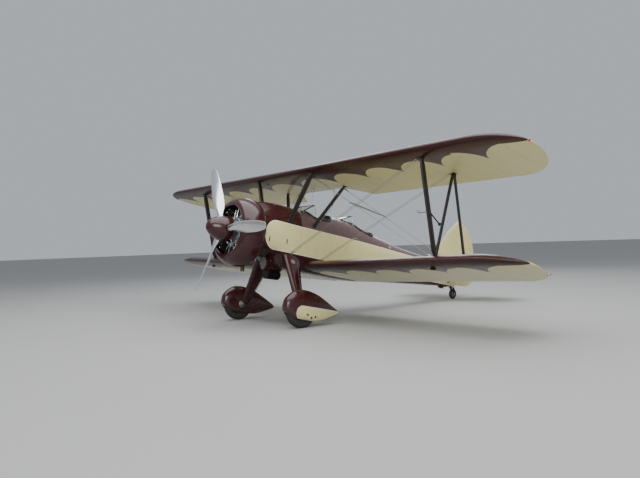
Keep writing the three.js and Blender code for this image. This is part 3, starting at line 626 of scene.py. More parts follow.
def pant_paint():
    """Maroon pants with a cream teardrop on the outer side, edged in ivory."""
    paint = Paint("pant_enamel", MAROON, 0.24, Coat_Weight=0.25, Coat_Roughness=0.06,
                  Specular_IOR_Level=0.4)
    x, y, z = paint.split(paint.level())
    outer = ((x.size() - WHEEL.x) * -1.0).inside()
    # The drop: a round head at the front, a straight top and a lower edge that rises to a point.
    head = {"y": 1.045, "z": -1.262, "r": 0.116}
    ahead = ((y - head["y"]) ** 2 + (z - head["z"]) ** 2) ** 0.5 - head["r"]
    top = z - ((y - 1.0) * -0.010 - 1.147)
    bottom = (((y - 1.40) * 0.371 - 1.390) - z).at_least(z * -1.0 - 1.378)
    body = top.at_least(bottom).at_least(y * -1.0 + head["y"])
    d = ahead.at_most(body)
    cloud = paint.noise(3, 4)
    maroon = paint.shade(MAROON, 0.25, cloud)
    cream = paint.shade(CREAM, 0.06, cloud)
    colour = paint.blend(d.inside() * outer, maroon, cream)
    edge = ((d + 0.004).size() - 0.004).inside() * outer
    colour = paint.blend(edge, colour, IVORY)
    mud = (z + 1.25).inside(0.2) * paint.noise(16, 6) ** 2.0
    colour = paint.blend(mud * 0.6, colour, (0.10, 0.075, 0.05))
    paint.set("Base Color", colour)
    paint.set("Roughness", paint.noise(9, 5) * 0.2 + 0.14 + mud * 0.3)
    paint.relief(paint.noise(140, 2), 0.00012)
    return paint


def metal(name, base, rough, grain=(1, 1, 1), scale=60, depth=0.0002, dirt=0.25):
    """Bare metal with grain, worn gloss and grime."""
    paint = Paint(name, base, rough, Metallic=1.0)
    cloud = paint.noise(scale * 0.1, 5)
    paint.set("Base Color", paint.shade(base, dirt, cloud))
    paint.set("Roughness", paint.noise(scale * 0.3, 5, stretch=grain) * 0.25 + (rough - 0.1))
    paint.relief(paint.noise(scale, 3, stretch=grain), depth)
    return paint


def rubber():
    paint = Paint("tyre_rubber", (0.022, 0.022, 0.023), 0.8, Specular_IOR_Level=0.3)
    dust = paint.noise(22, 6)
    paint.set("Base Color", paint.blend(dust * 0.35, (0.018, 0.018, 0.019), (0.09, 0.08, 0.065)))
    paint.set("Roughness", paint.noise(60, 4) * 0.25 + 0.65)
    paint.relief(paint.noise(300, 3), 0.0004)
    return paint


def leather(name, base):
    paint = Paint(name, base, 0.5, Sheen_Weight=0.04)
    wear = paint.noise(14, 6)
    paint.set("Base Color", paint.blend(wear * 0.4, base, tuple(v * 2.2 for v in base)))
    paint.set("Roughness", paint.noise(30, 5) * 0.3 + 0.35)
    paint.relief(paint.noise(420, 3, 0.7), 0.0005)
    paint.relief(paint.noise(50, 4), 0.0008)
    return paint


def webbing():
    paint = Paint("harness_webbing", (0.10, 0.11, 0.08), 0.8, Sheen_Weight=0.3)
    x, y, z = paint.split(paint.level())
    paint.relief((x * 1400).sine() * ((y + z) * 1400).sine(), 0.0004)
    paint.set("Base Color", paint.shade((0.16, 0.17, 0.12), 0.5, paint.noise(60, 4)))
    return paint


def glazing():
    paint = Paint("clear_glazing", (0.93, 0.97, 0.96), 0.03, Transmission_Weight=1.0, IOR=1.45)
    paint.set("Roughness", paint.noise(30, 6) * 0.05 + 0.01)
    return paint


def lamp(name, base):
    paint = Paint(name, base, 0.1, Transmission_Weight=0.6, IOR=1.45, Coat_Weight=0.5)
    paint.relief(paint.noise(200, 1), 0.0003)
    paint.set("Roughness", paint.noise(40, 3) * 0.1 + 0.05)
    return paint


def dial_face():
    """The black of the instruments' dials."""
    paint = Paint("dial_face", (0.015, 0.015, 0.016), 0.3, Coat_Weight=0.8)
    paint.set("Roughness", paint.noise(50, 3) * 0.1 + 0.2)
    return paint


maroon = gloss_paint("maroon_enamel", MAROON)
# A paler maroon, used on the round cover plate of each gear leg
pale_plate_maroon = gloss_paint("paler_maroon", (0.20, 0.15, 0.15), 0.35, 0.2)
cowl_enamel = cowl_paint()
band_metal = fuselage_paint("maroon_band_metal", False)
band_fabric = fuselage_paint("maroon_band_fabric", True)
upper_fabric = wing_paint("upper_wing_fabric", 0.958, 0.7935, 0.68, 0.38, 4.132, False)
lower_fabric = wing_paint("lower_wing_fabric", 0.307, 0.7355, 0.64, 0.34, 3.985, True)
tail_fabric = tail_paint()
pant_enamel = pant_paint()
strut_paint = gloss_paint("strut_enamel", NEAR_BLACK, 0.42, 0.08)
steel = metal("plain_steel", (0.55, 0.55, 0.54), 0.32)
stainless = metal("wire_stainless", (0.46, 0.45, 0.42), 0.4)
blade_metal = metal("polished_blade", (0.78, 0.79, 0.80), 0.2, (1, 1, 12), 50, 0.0001, 0.1)
casting = metal("grey_casting", (0.30, 0.31, 0.32), 0.5, scale=160, depth=0.0005, dirt=0.4)
fin_metal = metal("cylinder_fins", (0.14, 0.14, 0.145), 0.55, scale=120, depth=0.0003, dirt=0.5)
bright = metal("rocker_chrome", (0.80, 0.80, 0.79), 0.15, dirt=0.1)
burnt = metal("burnt_exhaust", (0.24, 0.17, 0.13), 0.6, scale=90, depth=0.0006, dirt=0.5)
mesh_metal = metal("pale_mesh", (0.42, 0.42, 0.41), 0.55, scale=160, depth=0.0004, dirt=0.35)
dark_metal = metal("dark_fittings", (0.05, 0.048, 0.046), 0.5, scale=110, depth=0.0004)
cabin_green = gloss_paint("cabin_primer", (0.034, 0.044, 0.030), 0.55, 0.03)
tyre_rubber = rubber()
brown_leather = leather("brown_leather", (0.075, 0.032, 0.016))
black_leather = leather("black_leather", (0.016, 0.014, 0.013))
belt = webbing()
glass = glazing()
red_lamp = lamp("red_lamp", (0.7, 0.02, 0.02))
green_lamp = lamp("green_lamp", (0.02, 0.45, 0.10))
clear_lamp = lamp("clear_lamp", (0.85, 0.87, 0.9))
dial_black = dial_face()


# Fuselage

def hull_ring(y, inward=0.0, sides=112):
    """The fuselage's section at y, with the fabric drawn in between stringers behind the cockpits."""
    half, top, bottom, wide, top_power, bottom_power = curve(SECTIONS, [y])[0]
    a = TURN * (np.arange(sides) + 0.5) / sides
    draw = inward + 0.0035 * ramp(y, 3.5, 3.9) * np.abs(np.sin(a * 9))
    c, s = np.cos(a), np.sin(a)
    power = 2 / np.where(s > 0, top_power, bottom_power)
    x = (half - draw) * np.sign(c) * np.abs(c) ** power
    rise = np.where(s > 0, top - wide, wide - bottom) - draw
    return np.column_stack((x, np.full(sides, y), wide + rise * np.sign(s) * np.abs(s) ** power))


def hull_top(x, y):
    half, top, _, wide, power, _ = curve(SECTIONS, [y])[0]
    return wide + (top - wide) * max(0.0, 1 - abs(x / half) ** power) ** (1 / power)


def hull_side(y, z):
    half, top, bottom, wide, top_power, bottom_power = curve(SECTIONS, [y])[0]
    reach, power = (top - wide, top_power) if z > wide else (wide - bottom, bottom_power)
    return half * max(0.0, 1 - abs((z - wide) / reach) ** power) ** (1 / power)


def hull_rows(start, end, inward=0.0, step=0.04):
    return [hull_ring(y, inward) for y in np.linspace(start, end, int((end - start) / step) + 2)]


def well_outline(well, inset=0.0, corner=0.16):
    middle = (well["from"] + well["to"]) / 2
    half_y = (well["to"] - well["from"]) / 2
    ring = rounded(well["half"] - inset, half_y - inset, corner - inset, 8)
    return ring + (0, middle)


def well_shape(well):
    ring = well_outline(well)
    return Shape().skin([at_height(ring, z) for z in (well["floor"], WELL_TOOL_TOP)], paint=1)


GAP = 0.0004
skin = hull_rows(SECTIONS[0][0], COWL_JOINT - GAP)
lining = hull_rows(SECTIONS[0][0], COWL_JOINT - GAP, 0.012)
nose_shell = Shape().skin(skin + lining[::-1] + skin[:1], caps=(False, False))
build("accessory_panels", nose_shell, "airframe", [band_metal], ["accessory_cowl"])

forward = make_object("forward_fuselage", Shape().skin(hull_rows(COWL_JOINT, TAIL_JOINT - GAP)))
cut(forward, well_shape(WELLS["front"]), well_shape(WELLS["rear"]))
dress(forward, "airframe", [band_metal, cabin_green], ["fuselage_forward"])

STERN = SECTIONS[-1][0]
aft = Shape().skin(hull_rows(TAIL_JOINT, STERN))
cap = np.array([hull_ring(STERN, inward) + (0, lift, 0) for inward, lift in ((0, 0), (0.006, 0.005))])
aft.skin(cap, caps=(False, True))
build("aft_fuselage", aft, "airframe", [band_fabric], ["fuselage_aft"])


# Wings

AEROFOIL_BY_ROOT = [(math.sqrt(s), up, down) for s, up, down in AEROFOIL]


def wing_point(wing, x, c, t):
    tilt = math.radians(wing["incidence"])
    c, t = np.asarray(c, float), np.asarray(t, float)
    y = wing["y"] + c * math.cos(tilt) + t * math.sin(tilt)
    rise = abs(x) * math.tan(math.radians(wing["dihedral"]))
    z = wing["z"] + rise - c * math.sin(tilt) + t * math.cos(tilt)
    return np.column_stack((np.full(c.shape, x), y, z))


def wing_outline(wing, x):
    """Front edge, length and thickness factor of the wing at x."""
    into = max(0.0, abs(x) - (wing["half"] - TIP_LENGTH)) / TIP_LENGTH
    swell = math.sqrt(max(0.0, 1 - into * into))
    front = TIP_WIDEST * (1 - swell)
    length = TIP_WIDEST + (CHORD - TIP_WIDEST) * swell - front
    return front, length, length * (0.45 + 0.55 * swell)


def heights(wing, x, c):
    front, length, thick = wing_outline(wing, x)
    share = np.clip((np.asarray(c) - front) / length, 0, 1)
    up, down = curve(AEROFOIL_BY_ROOT, np.sqrt(share)).T * thick
    sag = 0.004 * abs(math.sin(math.pi * x / RIB_PITCH)) * ramp(share, 0.13, 0.3)
    sag = sag * (1 - ramp(share, 0.9, 1)) * ramp(thick, 0.4, 1.2)
    return up - sag, down + sag


def wing_ring(wing, x, end=None, bulge=0.004, thin=0.0, count=34):
    """A wing's section from its rear end over the top to the nose and back underneath. thin
    is how far the section is drawn down to a fine edge over its last stretch."""
    front, length, _ = wing_outline(wing, x)
    last = front + length if end is None else min(end, front + length)
    share = np.linspace(0, 1, count) ** 1.7
    c = front + (last - front) * share
    up, down = heights(wing, x, c)
    if thin:
        keep = np.clip((last - c) / 0.36, 0, 1) ** 0.75 * 0.96 + 0.04
        keep = 1 + (keep - 1) * thin
        middle = (up + down) / 2
        up, down = middle + (up - middle) * keep, middle + (down - middle) * keep
    a = np.linspace(-math.pi / 2, math.pi / 2, 7)[1:-1]
    middle, half = (up[-1] + down[-1]) / 2, (up[-1] - down[-1]) / 2
    around = np.concatenate((c[::-1], c[1:], last + bulge * np.cos(a)))
    height = np.concatenate((up[::-1], down[1:], middle + half * np.sin(a)))
    side = np.concatenate((np.ones(count), -np.ones(count - 1), np.zeros(len(a))))
    chart = np.column_stack((np.full(around.shape, abs(x)), around, side))
    return wing_point(wing, x, around, height), chart


def add_wing(shape, wing, stations):
    rings = [wing_ring(wing, x, *extra) for x, *extra in stations]
    return shape.skin([ring for ring, _ in rings], chart=np.array([chart for _, chart in rings]))


def spread(start, end, step=RIB_PITCH / 6):
    return list(np.linspace(start, end, max(2, int((end - start) / step) + 1)))


def tip_stations(wing):
    start = wing["half"] - TIP_LENGTH
    return [start + TIP_LENGTH * math.sin(a) for a in np.linspace(0.05, 0.4995, 26) * math.pi]


def wing_fitting(shape, wing, x, c, upper=False, size=(0.05, 0.03)):
    """A cover plate with two bolts where a strut or wire meets the wing."""
    up, down = heights(wing, x, [c])
    t = up[0] if upper else down[0]
    centre = Vector(wing_point(wing, x, [c], [t])[0])
    normal = Vector((0, 0, 1 if upper else -1))
    shape.block((size[1], size[0], 0.003), facing(centre, normal), 0.002, 0.012, paint=1)
    for k in (-0.7, 0.7):
        shape.stud(centre + Vector((0, size[0] * k, 0)), normal, 0.006, 0.008, 6, paint=1)


# Where the cabane struts meet the upper wing: x, and the distance behind its front edge
CABANE_HEADS = {"cabane_front": (0.825, 0.115), "cabane_rear": (0.865, 0.870)}
COVE_END = AILERON["hinge"] - 0.021
COVE_DEPTH = -0.0255


def rear_edge(x):
    """The upper wing's rear edge at x, which curves in to a cut-out over the cockpits, with
    the bulge of that edge and the share to which the section is drawn down to meet it."""
    out = min(1.0, max(0.0, abs(x) - CUTOUT_HALF) / (CUTOUT_END - CUTOUT_HALF)) ** 2
    return CHORD - CUTOUT_DEPTH * (1 - out), 0.004, 1 - out


upper_stations = [(x, *rear_edge(x)) for x in spread(CENTRE_HALF + GAP, 4.142)]
upper_panel = add_wing(Shape(), UPPER, upper_stations + [(x,) for x in tip_stations(UPPER)])
for x, c in CABANE_HEADS.values():
    wing_fitting(upper_panel, UPPER, x, c)
for c in (FRONT_SPAR, REAR_SPAR):
    wing_fitting(upper_panel, UPPER, STRUT_X, c)
    wing_fitting(upper_panel, UPPER, WIRE_PLATE_X, c, size=(0.03, 0.015))
lower_stations = [(x,) for x in spread(0.39, AILERON["from"] - RUNNING)]
lower_stations += [(x, COVE_END, COVE_DEPTH) for x in
                   spread(AILERON["from"] - RUNNING, AILERON["to"] + RUNNING)]
lower_stations += [(x,) for x in [AILERON["to"] + RUNNING] + tip_stations(LOWER)]
lower_panel = add_wing(Shape(), LOWER, lower_stations)
for c in (FRONT_SPAR, REAR_SPAR):
    wing_fitting(lower_panel, LOWER, STRUT_X, c, True)
    wing_fitting(lower_panel, LOWER, WIRE_PLATE_X, c, True, size=(0.03, 0.015))
pad_centre = wing_point(LOWER, STRUT_X, [FRONT_SPAR], [-0.041 * CHORD])[0]
lower_panel.block((0.03, 0.03, 0.013), facing(pad_centre - (0, 0, 0.013), (0, 0, 1)), 0.002, paint=1)
lower_panel.torus(facing(pad_centre - (0, 0, 0.004), (1, 0, 0)), 0.016, 0.004, 20, 8, paint=1)

aileron = Shape()
nose = np.linspace(math.pi / 2, 3 * math.pi / 2, 13)
rows, charts = [], []
for x in spread(AILERON["from"], AILERON["to"]):
    front, length, _ = wing_outline(LOWER, x)
    c = np.linspace(AILERON["hinge"], front + length, 12)
    up, down = heights(LOWER, x, c)
    middle, half = (up[0] + down[0]) / 2, (up[0] - down[0]) / 2
    around = np.concatenate((c[::-1], AILERON["hinge"] + half * np.cos(nose[1:-1]), c))
    height = np.concatenate((up[::-1], middle + half * np.sin(nose[1:-1]), down))
    rows.append(wing_point(LOWER, x, around, height))
    side = np.concatenate((np.ones(12), np.zeros(11), -np.ones(12)))
    charts.append(np.column_stack((np.full(around.shape, x), around, side)))
aileron.skin(rows, chart=np.array(charts))
# Hinge plates, all behind the hinge line so that they clear the wing
plate_at = AILERON["hinge"] + 0.044
for x in (2.58, 3.77):
    under = heights(LOWER, x, [plate_at])[1]
    plate = facing(wing_point(LOWER, x, [plate_at], under)[0], (0, 0, 1))
    aileron.block((0.012, 0.034, 0.004), plate, 0.002, paint=1)

for side, turned_to in MIRROR.items():
    build("upper_wing_" + side, turned_to(upper_panel), "airframe",
          [upper_fabric, dark_metal], ["wing_upper_" + side])
    build("lower_wing_" + side, turned_to(lower_panel), "airframe",
          [lower_fabric, dark_metal], ["wing_lower_" + side])
    build("aileron_skin_" + side, turned_to(aileron), "aileron_" + side,
          [lower_fabric, steel], ["aileron_" + side])


centre = Shape()
add_wing(centre, UPPER, [(x, *rear_edge(x)) for x in spread(-CENTRE_HALF + GAP, CENTRE_HALF - GAP, 0.03)])
cap_at = Vector(wing_point(UPPER, 0.0, [0.62], heights(UPPER, 0.0, [0.62])[0])[0])
centre.turn([(0.045, -0.01), (0.045, 0.008), (0.036, 0.014), (0.012, 0.016), (0, 0.02)],
            facing(cap_at, (0, 0, 1)), 32, paint=1)
for side in (-1, 1):
    for c in (FRONT_SPAR, REAR_SPAR):
        wing_fitting(centre, UPPER, ROOT_WIRE_X * side, c, size=(0.03, 0.015))
build("centre_section", centre, "airframe", [upper_fabric, dark_metal],
      ["wing_centre_section"])


# Nose: spinner, blades, cowl, engine

AFT = facing((0, 0, 0), (0, 1, 0), (0, 0, 1))  # turns things about the shaft
BLADE_ANGLES = (0, 120, 240)
BLADE_PLANE = -0.035


def around_shaft(radius, degrees, y):
    a = math.radians(degrees)
    return Vector((radius * math.cos(a), y, radius * math.sin(a)))


SPINNER = [(0, -0.360), (0.030, -0.354), (0.060, -0.343), (0.118, -0.295), (0.168, -0.220),
           (0.204, -0.130), (0.222, -0.040), (0.226, 0.040)]
profile = follow(SPINNER, 44).tolist() + [(0.226, 0.045), (0.208, 0.045), (0.196, -0.07), (0.06, -0.07),
                                          (0.05, 0.04), (0.0, 0.04)]
spinner = make_object("spinner_shell", Shape().turn(profile, AFT, 96))
for angle in BLADE_ANGLES:
    blade_line = facing((0, BLADE_PLANE, 0), around_shaft(1, angle, 0))
    cut(spinner, Shape().turn([(0, 0.10), (0.066, 0.10), (0.066, 0.3), (0, 0.3)], blade_line, 40, paint=1))
dress(spinner, "propeller", [maroon, dark_metal], ["spinner"])

# Blade stations: radius, chord, thickness, twist from the plane of rotation, how far the
# section has turned from round to aerofoil
BLADE = [
    (0.095, 0.118, 0.118, 50, 0), (0.225, 0.118, 0.118, 50, 0), (0.33, 0.138, 0.084, 46, 0.5),
    (0.48, 0.188, 0.047, 39, 1), (0.70, 0.21, 0.030, 31, 1), (0.95, 0.196, 0.020, 25, 1),
    (1.15, 0.16, 0.013, 21, 1), (1.25, 0.116, 0.009, 19.3, 1), (1.285, 0.074, 0.006, 18.4, 1),
    (1.2985, 0.02, 0.003, 18, 1),
]


def blade(angle):
    a = math.radians(angle)
    radii = np.concatenate((np.linspace(0.095, 1.25, 44), np.linspace(1.258, 1.2985, 10)))
    k = np.arange(40) * TURN / 40
    rows = []
    for r, (chord, thick, twist, shaped) in zip(radii, curve(BLADE, radii)):
        b = math.radians(twist)
        lead = Vector((-math.sin(a) * math.cos(b), -math.sin(b), math.cos(a) * math.cos(b)))
        face = Vector((math.sin(a) * math.sin(b), -math.cos(b), -math.cos(a) * math.sin(b)))
        across = chord / 2 * np.cos(k)
        depth = thick / 2 * np.sin(k) * (1 + 0.45 * shaped * np.cos(k))
        depth = depth + thick * 0.16 * shaped * (np.sin(k) ** 2 - 0.3)
        centre = around_shaft(r, angle, BLADE_PLANE)
        rows.append(np.array(centre) + np.outer(across, lead) + np.outer(depth, face))
    shape = Shape().skin(rows)
    out = around_shaft(1, angle, 0)
    for r in (0.178, 0.192):
        shape.torus(facing(around_shaft(r, angle, BLADE_PLANE), out), 0.0595, 0.004, 40, 8, paint=1)
    return shape


for number, angle in enumerate(BLADE_ANGLES, 1):
    build("blade_%d" % number, blade(angle), "propeller",
          [blade_metal, dark_metal], ["propeller_blade_%d" % number])

# Cowl ring: radius and y, from the lip's inner edge over the outside and back inside
COWL_OUTSIDE = [(0.446, 0.084), (0.4375, 0.072), (0.446, 0.060), (0.472, 0.056), (0.515, 0.074),
                (0.556, 0.112), (0.590, 0.180), (0.606, 0.250), (0.610, 0.300), (0.605, 0.400),
                (0.577, 0.472)]
COWL_INSIDE = [(0.573, 0.471), (0.600, 0.400), (0.605, 0.300), (0.585, 0.185), (0.552, 0.120),
               (0.512, 0.082), (0.470, 0.068), (0.450, 0.084)]
profile = follow(COWL_OUTSIDE, 64).tolist() + follow(COWL_INSIDE, 40).tolist()
cowl = Shape().turn(profile, AFT, 144, closed=True)
for k in range(54):
    a = k * 360 / 54 + 2
    cowl.stud(around_shaft(0.5815, a, 0.455), around_shaft(1, a, 0.25), 0.006, 0.003, 8)
for k in range(27):
    a = k * 360 / 27 + 4
    cowl.stud(around_shaft(0.5245, a, 0.0815), around_shaft(0.6, a, -0.8), 0.006, 0.0025, 8)
radii, places = np.array(COWL_OUTSIDE[5:]).T
for joint in (90, 210, 330):
    for y in np.linspace(0.15, 0.43, 7):
        radius = float(np.interp(y, places, radii))
        for off in (-2.2, 2.2):
            cowl.stud(around_shaft(radius, joint + off, y), around_shaft(1, joint + off, 0), 0.005, 0.0025,
                      8)
build("cowl_ring", cowl, "airframe", [cowl_enamel, steel], ["cowling"])

CYLINDER_Y = 0.285


def finned(start, end, inner, outer, pitch=0.0095):
    """A profile with cooling fins, as radius and height."""
    profile = []
    for k in range(int((end - start) / pitch)):
        h = start + k * pitch
        profile += [(inner, h), (inner, h + pitch * 0.55), (outer, h + pitch * 0.62),
                    (outer, h + pitch * 0.93)]
    return profile + [(inner, end)]


def cylinder():
    """One cylinder standing on the shaft's line: z outward, y aft."""
    shape = Shape()
    up = Matrix.Identity(4)
    shape.turn([(0, 0.235), (0.092, 0.235), (0.092, 0.262), (0.06, 0.266)], up, 30)
    for k in range(8):
        a = k * TURN / 8
        shape.stud((0.08 * math.cos(a), 0.08 * math.sin(a), 0.262), (0, 0, 1), 0.008, 0.012, 6, paint=1)
    shape.turn(finned(0.266, 0.415, 0.058, 0.073), up, 30, paint=2)
    head = [(0.05, 0.530), (0.03, 0.540), (0, 0.542)]
    shape.turn([(0.0, 0.415)] + finned(0.415, 0.512, 0.066, 0.087) + head, up, 30)
    for side in (-1, 1):
        lean = facing((0.048 * side, -0.030, 0.508), (0.30 * side, 0, 1), (0, 1, 0))
        shape.block((0.024, 0.066, 0.026), lean, 0.010, 0.020)
        shape.block((0.0225, 0.060, 0.007), lean @ Matrix.Translation((0, 0, 0.027)), 0.005, 0.018, paint=1)
        for y in (-0.042, 0.042):
            shape.stud(lean @ Vector((0.0, y, 0.034)), lean.col[2].to_3d(), 0.005, 0.006, 6, paint=1)
        cap_place = facing((0.048 * side, -0.094, 0.500), (0, -1, 0.12))
        shape.turn(follow([(0.0245, -0.004), (0.0245, 0.004), (0.021, 0.010), (0.010, 0.0145),
                           (0.0001, 0.0155)], 12).tolist(),
                   cap_place, 24, paint=1)
        shape.rod((0.034 * side, -0.103, 0.21), (0.050 * side, -0.080, 0.505), 0.0085, 12, paint=1)
        shape.stud((0.034 * side, -0.103, 0.225), (0, 0, 1), 0.014, 0.012, 12, paint=1)
        shape.rod((0.05 * side, 0.03, 0.5), (0.075 * side, 0.09, 0.46), 0.019, 14, paint=3)
    shape.rod((0, -0.062, 0.452), (0, -0.104, 0.458), 0.009, 10, paint=1)
    lead = follow([(0, -0.104, 0.458), (0.004, -0.122, 0.440), (0.022, -0.118, 0.34),
                   (0.026, -0.105, 0.235)], 14)
    shape.tube(lead, 0.0045, 8, paint=4)
    return shape


one = cylinder()
engine = Shape()
for k in range(9):
    engine.join(one, Matrix.Translation((0, CYLINDER_Y, 0)) @ Matrix.Rotation(k * TURN / 9, 4, "Y"))
CASE = [(0, 0.058), (0.046, 0.058), (0.046, 0.074), (0.078, 0.078), (0.082, 0.094), (0.100, 0.112),
        (0.128, 0.130), (0.150, 0.150), (0.176, 0.158), (0.190, 0.164), (0.196, 0.172), (0.222, 0.174),
        (0.245, 0.178), (0.255, 0.190)]
case = CASE + [(0.262, 0.205), (0.262, 0.395), (0.17, 0.43), (0.17, 0.9), (0, 0.9)]
engine.turn(case, AFT, 72)
for k in range(18):
    engine.stud(around_shaft(0.209, k * 20 + 5, 0.175), (0, -1, 0), 0.007, 0.009, 6, paint=1)
for k in range(8):
    engine.stud(around_shaft(0.090, k * 45, 0.103), (0, -1, 0), 0.006, 0.008, 6, paint=1)
engine.torus(facing((0, 0.165, 0), (0, 1, 0)), 0.243, 0.010, 72, 12, paint=1)
engine.torus(facing((0, 0.405, 0), (0, 1, 0)), 0.47, 0.036, 72, 14, paint=3)
engine.block((0.05, 0.035, 0.05), facing((0, 0.16, -0.25), (0, 0, 1)), 0.012, 0.02)
engine.turn([(0, 0), (0.03, 0), (0.034, 0.012), (0.034, 0.05), (0, 0.055)],
            facing((0.06, 0.12, -0.19), (0, -1, 0)), 24, paint=1)
build("radial_engine", engine, "airframe",
      [casting, bright, fin_metal, burnt, black_leather], ["engine"], sharp=30)

baffle = Shape()
baffle.turn([(0.19, 0.415), (0.56, 0.415), (0.56, 0.418), (0.19, 0.418)], AFT, 72, closed=True)
build("engine_baffle", baffle, "airframe", [dark_metal])

EXHAUST_X = -0.205
stub = Shape()
stub.tube(follow([(EXHAUST_X, 0.560, -0.29), (EXHAUST_X, 0.572, -0.40), (EXHAUST_X, 0.587, -0.53),
                  (EXHAUST_X, 0.60, -0.652)], 18),
          0.037, 28)
end = facing((EXHAUST_X, 0.6, -0.652), (0, 0.105, -1))
stub.turn([(0.030, -0.05), (0.030, 0.003), (0.0365, 0.003), (0.0365, -0.05)], end, 28, closed=True)
stub.torus(facing((EXHAUST_X, 0.575, -0.42), (0, 0.105, -1)), 0.039, 0.005, 28, 8)
stub.turn([(0.036, 0.0), (0.062, 0.0), (0.062, 0.006), (0.036, 0.008)],
          facing((EXHAUST_X, 0.566, -0.333), (0, 0, 1)), 28, closed=True)
build("exhaust_pipe", stub, "airframe", [burnt], ["exhaust_stub"])


def oval(y, z, high, wide, sides=48):
    a = np.arange(sides) * TURN / sides
    return np.column_stack((wide * np.cos(a), np.full(sides, y), z + high * np.sin(a)))


scoop = Shape()
SCOOP_Z = -0.450
MESH_Y = 0.887
SCOOP = [(0.880, SCOOP_Z, 0.130, 0.100), (1.010, SCOOP_Z, 0.140, 0.108), (1.270, -0.440, 0.120, 0.100)]
places = np.linspace(0.884, 1.27, 14)
outside = [oval(y, *row) for y, row in zip(places, curve(SCOOP, places))]
front = [oval(0.894, SCOOP_Z, 0.119, 0.089), oval(0.886, SCOOP_Z, 0.121, 0.091),
         oval(0.8805, SCOOP_Z, 0.125, 0.095), oval(0.8805, SCOOP_Z, 0.128, 0.098)]
scoop.skin(front + outside)
scoop.skin([oval(0.8885, SCOOP_Z, 0.1195, 0.0895), oval(0.893, SCOOP_Z, 0.1195, 0.0895)], paint=2)
for k in range(-8, 9):
    across = k * 0.0108
    reach = 0.119 * math.sqrt(max(0.0, 1 - (across / 0.0895) ** 2))
    if reach > 0.01:
        scoop.block((0.0012, reach, 0.002), facing((across, MESH_Y, SCOOP_Z), (0, 1, 0), (0, 0, 1)), 0.0006,
                    paint=2)
for k in range(-11, 12):
    up = k * 0.0105
    reach = 0.089 * math.sqrt(max(0.0, 1 - (up / 0.1195) ** 2))
    if reach > 0.01:
        scoop.block((reach, 0.0012, 0.002), facing((0, MESH_Y, SCOOP_Z + up), (0, 1, 0), (0, 0, 1)), 0.0006,
                    paint=2)
CORE = [(0.965, -0.640, 0.088, 0.100), (1.245, -0.632, 0.084, 0.096)]
ribs = []
for k in range(29):
    y = 0.967 + k * 0.00985
    z, high, wide = curve(CORE, [y])[0]
    r = 0.0 if k % 2 else 0.010
    ribs += [oval(y, z, high - r, wide - r), oval(y + 0.006, z, high - r, wide - r)]
scoop.skin(ribs, paint=1)
for x in (-0.07, 0.07):
    scoop.rod((x, 1.0, -0.60), (x * 0.9, 0.96, -0.50), 0.011, 12, paint=1)
scoop.turn([(0, -0.02), (0.013, -0.02), (0.013, 0.010), (0.008, 0.016), (0, 0.016)],
           facing((0.098, 0.975, -0.400), (1, 0, 0)), 16, paint=2)
build("cooler_and_scoop", scoop, "airframe",
      [maroon, dark_metal, mesh_metal], ["oil_cooler"], sharp=30)


# Struts and wires

ENDS = ((0, 0.55), (0.02, 0.62), (0.055, 0.93), (0.09, 1), (0.91, 1), (0.945, 0.93), (0.98, 0.62),
        (1, 0.55))


def on_wing(wing, x, c, upper):
    up, down = heights(wing, x, [c])
    return Vector(wing_point(wing, x, [c], [up[0] if upper else down[0]])[0])


def fork(shape, at, away, spread_by=0.013, length=0.06):
    """A forked end fitting with its pin, standing from a wing or the hull toward a strut."""
    away = Vector(away).normalized()
    for side in (-1, 1):
        centre = Vector(at) + away * length / 2 + Vector((spread_by * side, 0, 0))
        shape.block((0.003, 0.016, length / 2 + 0.01), facing(centre, away), 0.002, 0.0028)
    pin = Vector(at) + away * length * 0.6
    shape.rod(pin - Vector((0.024, 0, 0)), pin + Vector((0.024, 0, 0)), 0.006, 10)


def strut_between(shape, a, b, size):
    a, b = Vector(a), Vector(b)
    shape.bar(a, b, size, shares=ENDS)
    fork(shape, a, b - a)
    fork(shape, b, a - b)


interplane = Shape()
foot = {c: on_wing(LOWER, STRUT_X, c, True) for c in (FRONT_SPAR, REAR_SPAR, FRONT_SPAR + 0.03)}
head = {c: on_wing(UPPER, STRUT_X, c, False) for c in (FRONT_SPAR, REAR_SPAR, REAR_SPAR - 0.03)}
strut_between(interplane, foot[FRONT_SPAR], head[FRONT_SPAR], (0.105, 0.042))
strut_between(interplane, foot[REAR_SPAR], head[REAR_SPAR], (0.066, 0.030))
strut_between(interplane, foot[FRONT_SPAR + 0.03], head[REAR_SPAR - 0.03], (0.066, 0.030))
brace_from, brace_to = Vector((STRUT_X, 1.545, 0.410)), Vector((STRUT_X, 1.775, 0.285))
interplane.rod(brace_from, brace_to, 0.011, 12)
interplane.turn([(0, -0.020), (0.018, -0.018), (0.018, 0.018), (0, 0.020)], facing(brace_to, (0, 0.6, 1)),
                16)

CABANE_FEET = {"cabane_front": (1.066, 0.33), "cabane_rear": (1.635, 0.35)}
CABANE_SIZES = {"cabane_front": (0.105, 0.040), "cabane_rear": (0.080, 0.036)}


def hull_normal(y, z, reach=0.01):
    fall_y = hull_side(y + reach, z) - hull_side(y - reach, z)
    fall_z = hull_side(y, z + reach) - hull_side(y, z - reach)
    return Vector((2 * reach, -fall_y, -fall_z)).normalized()


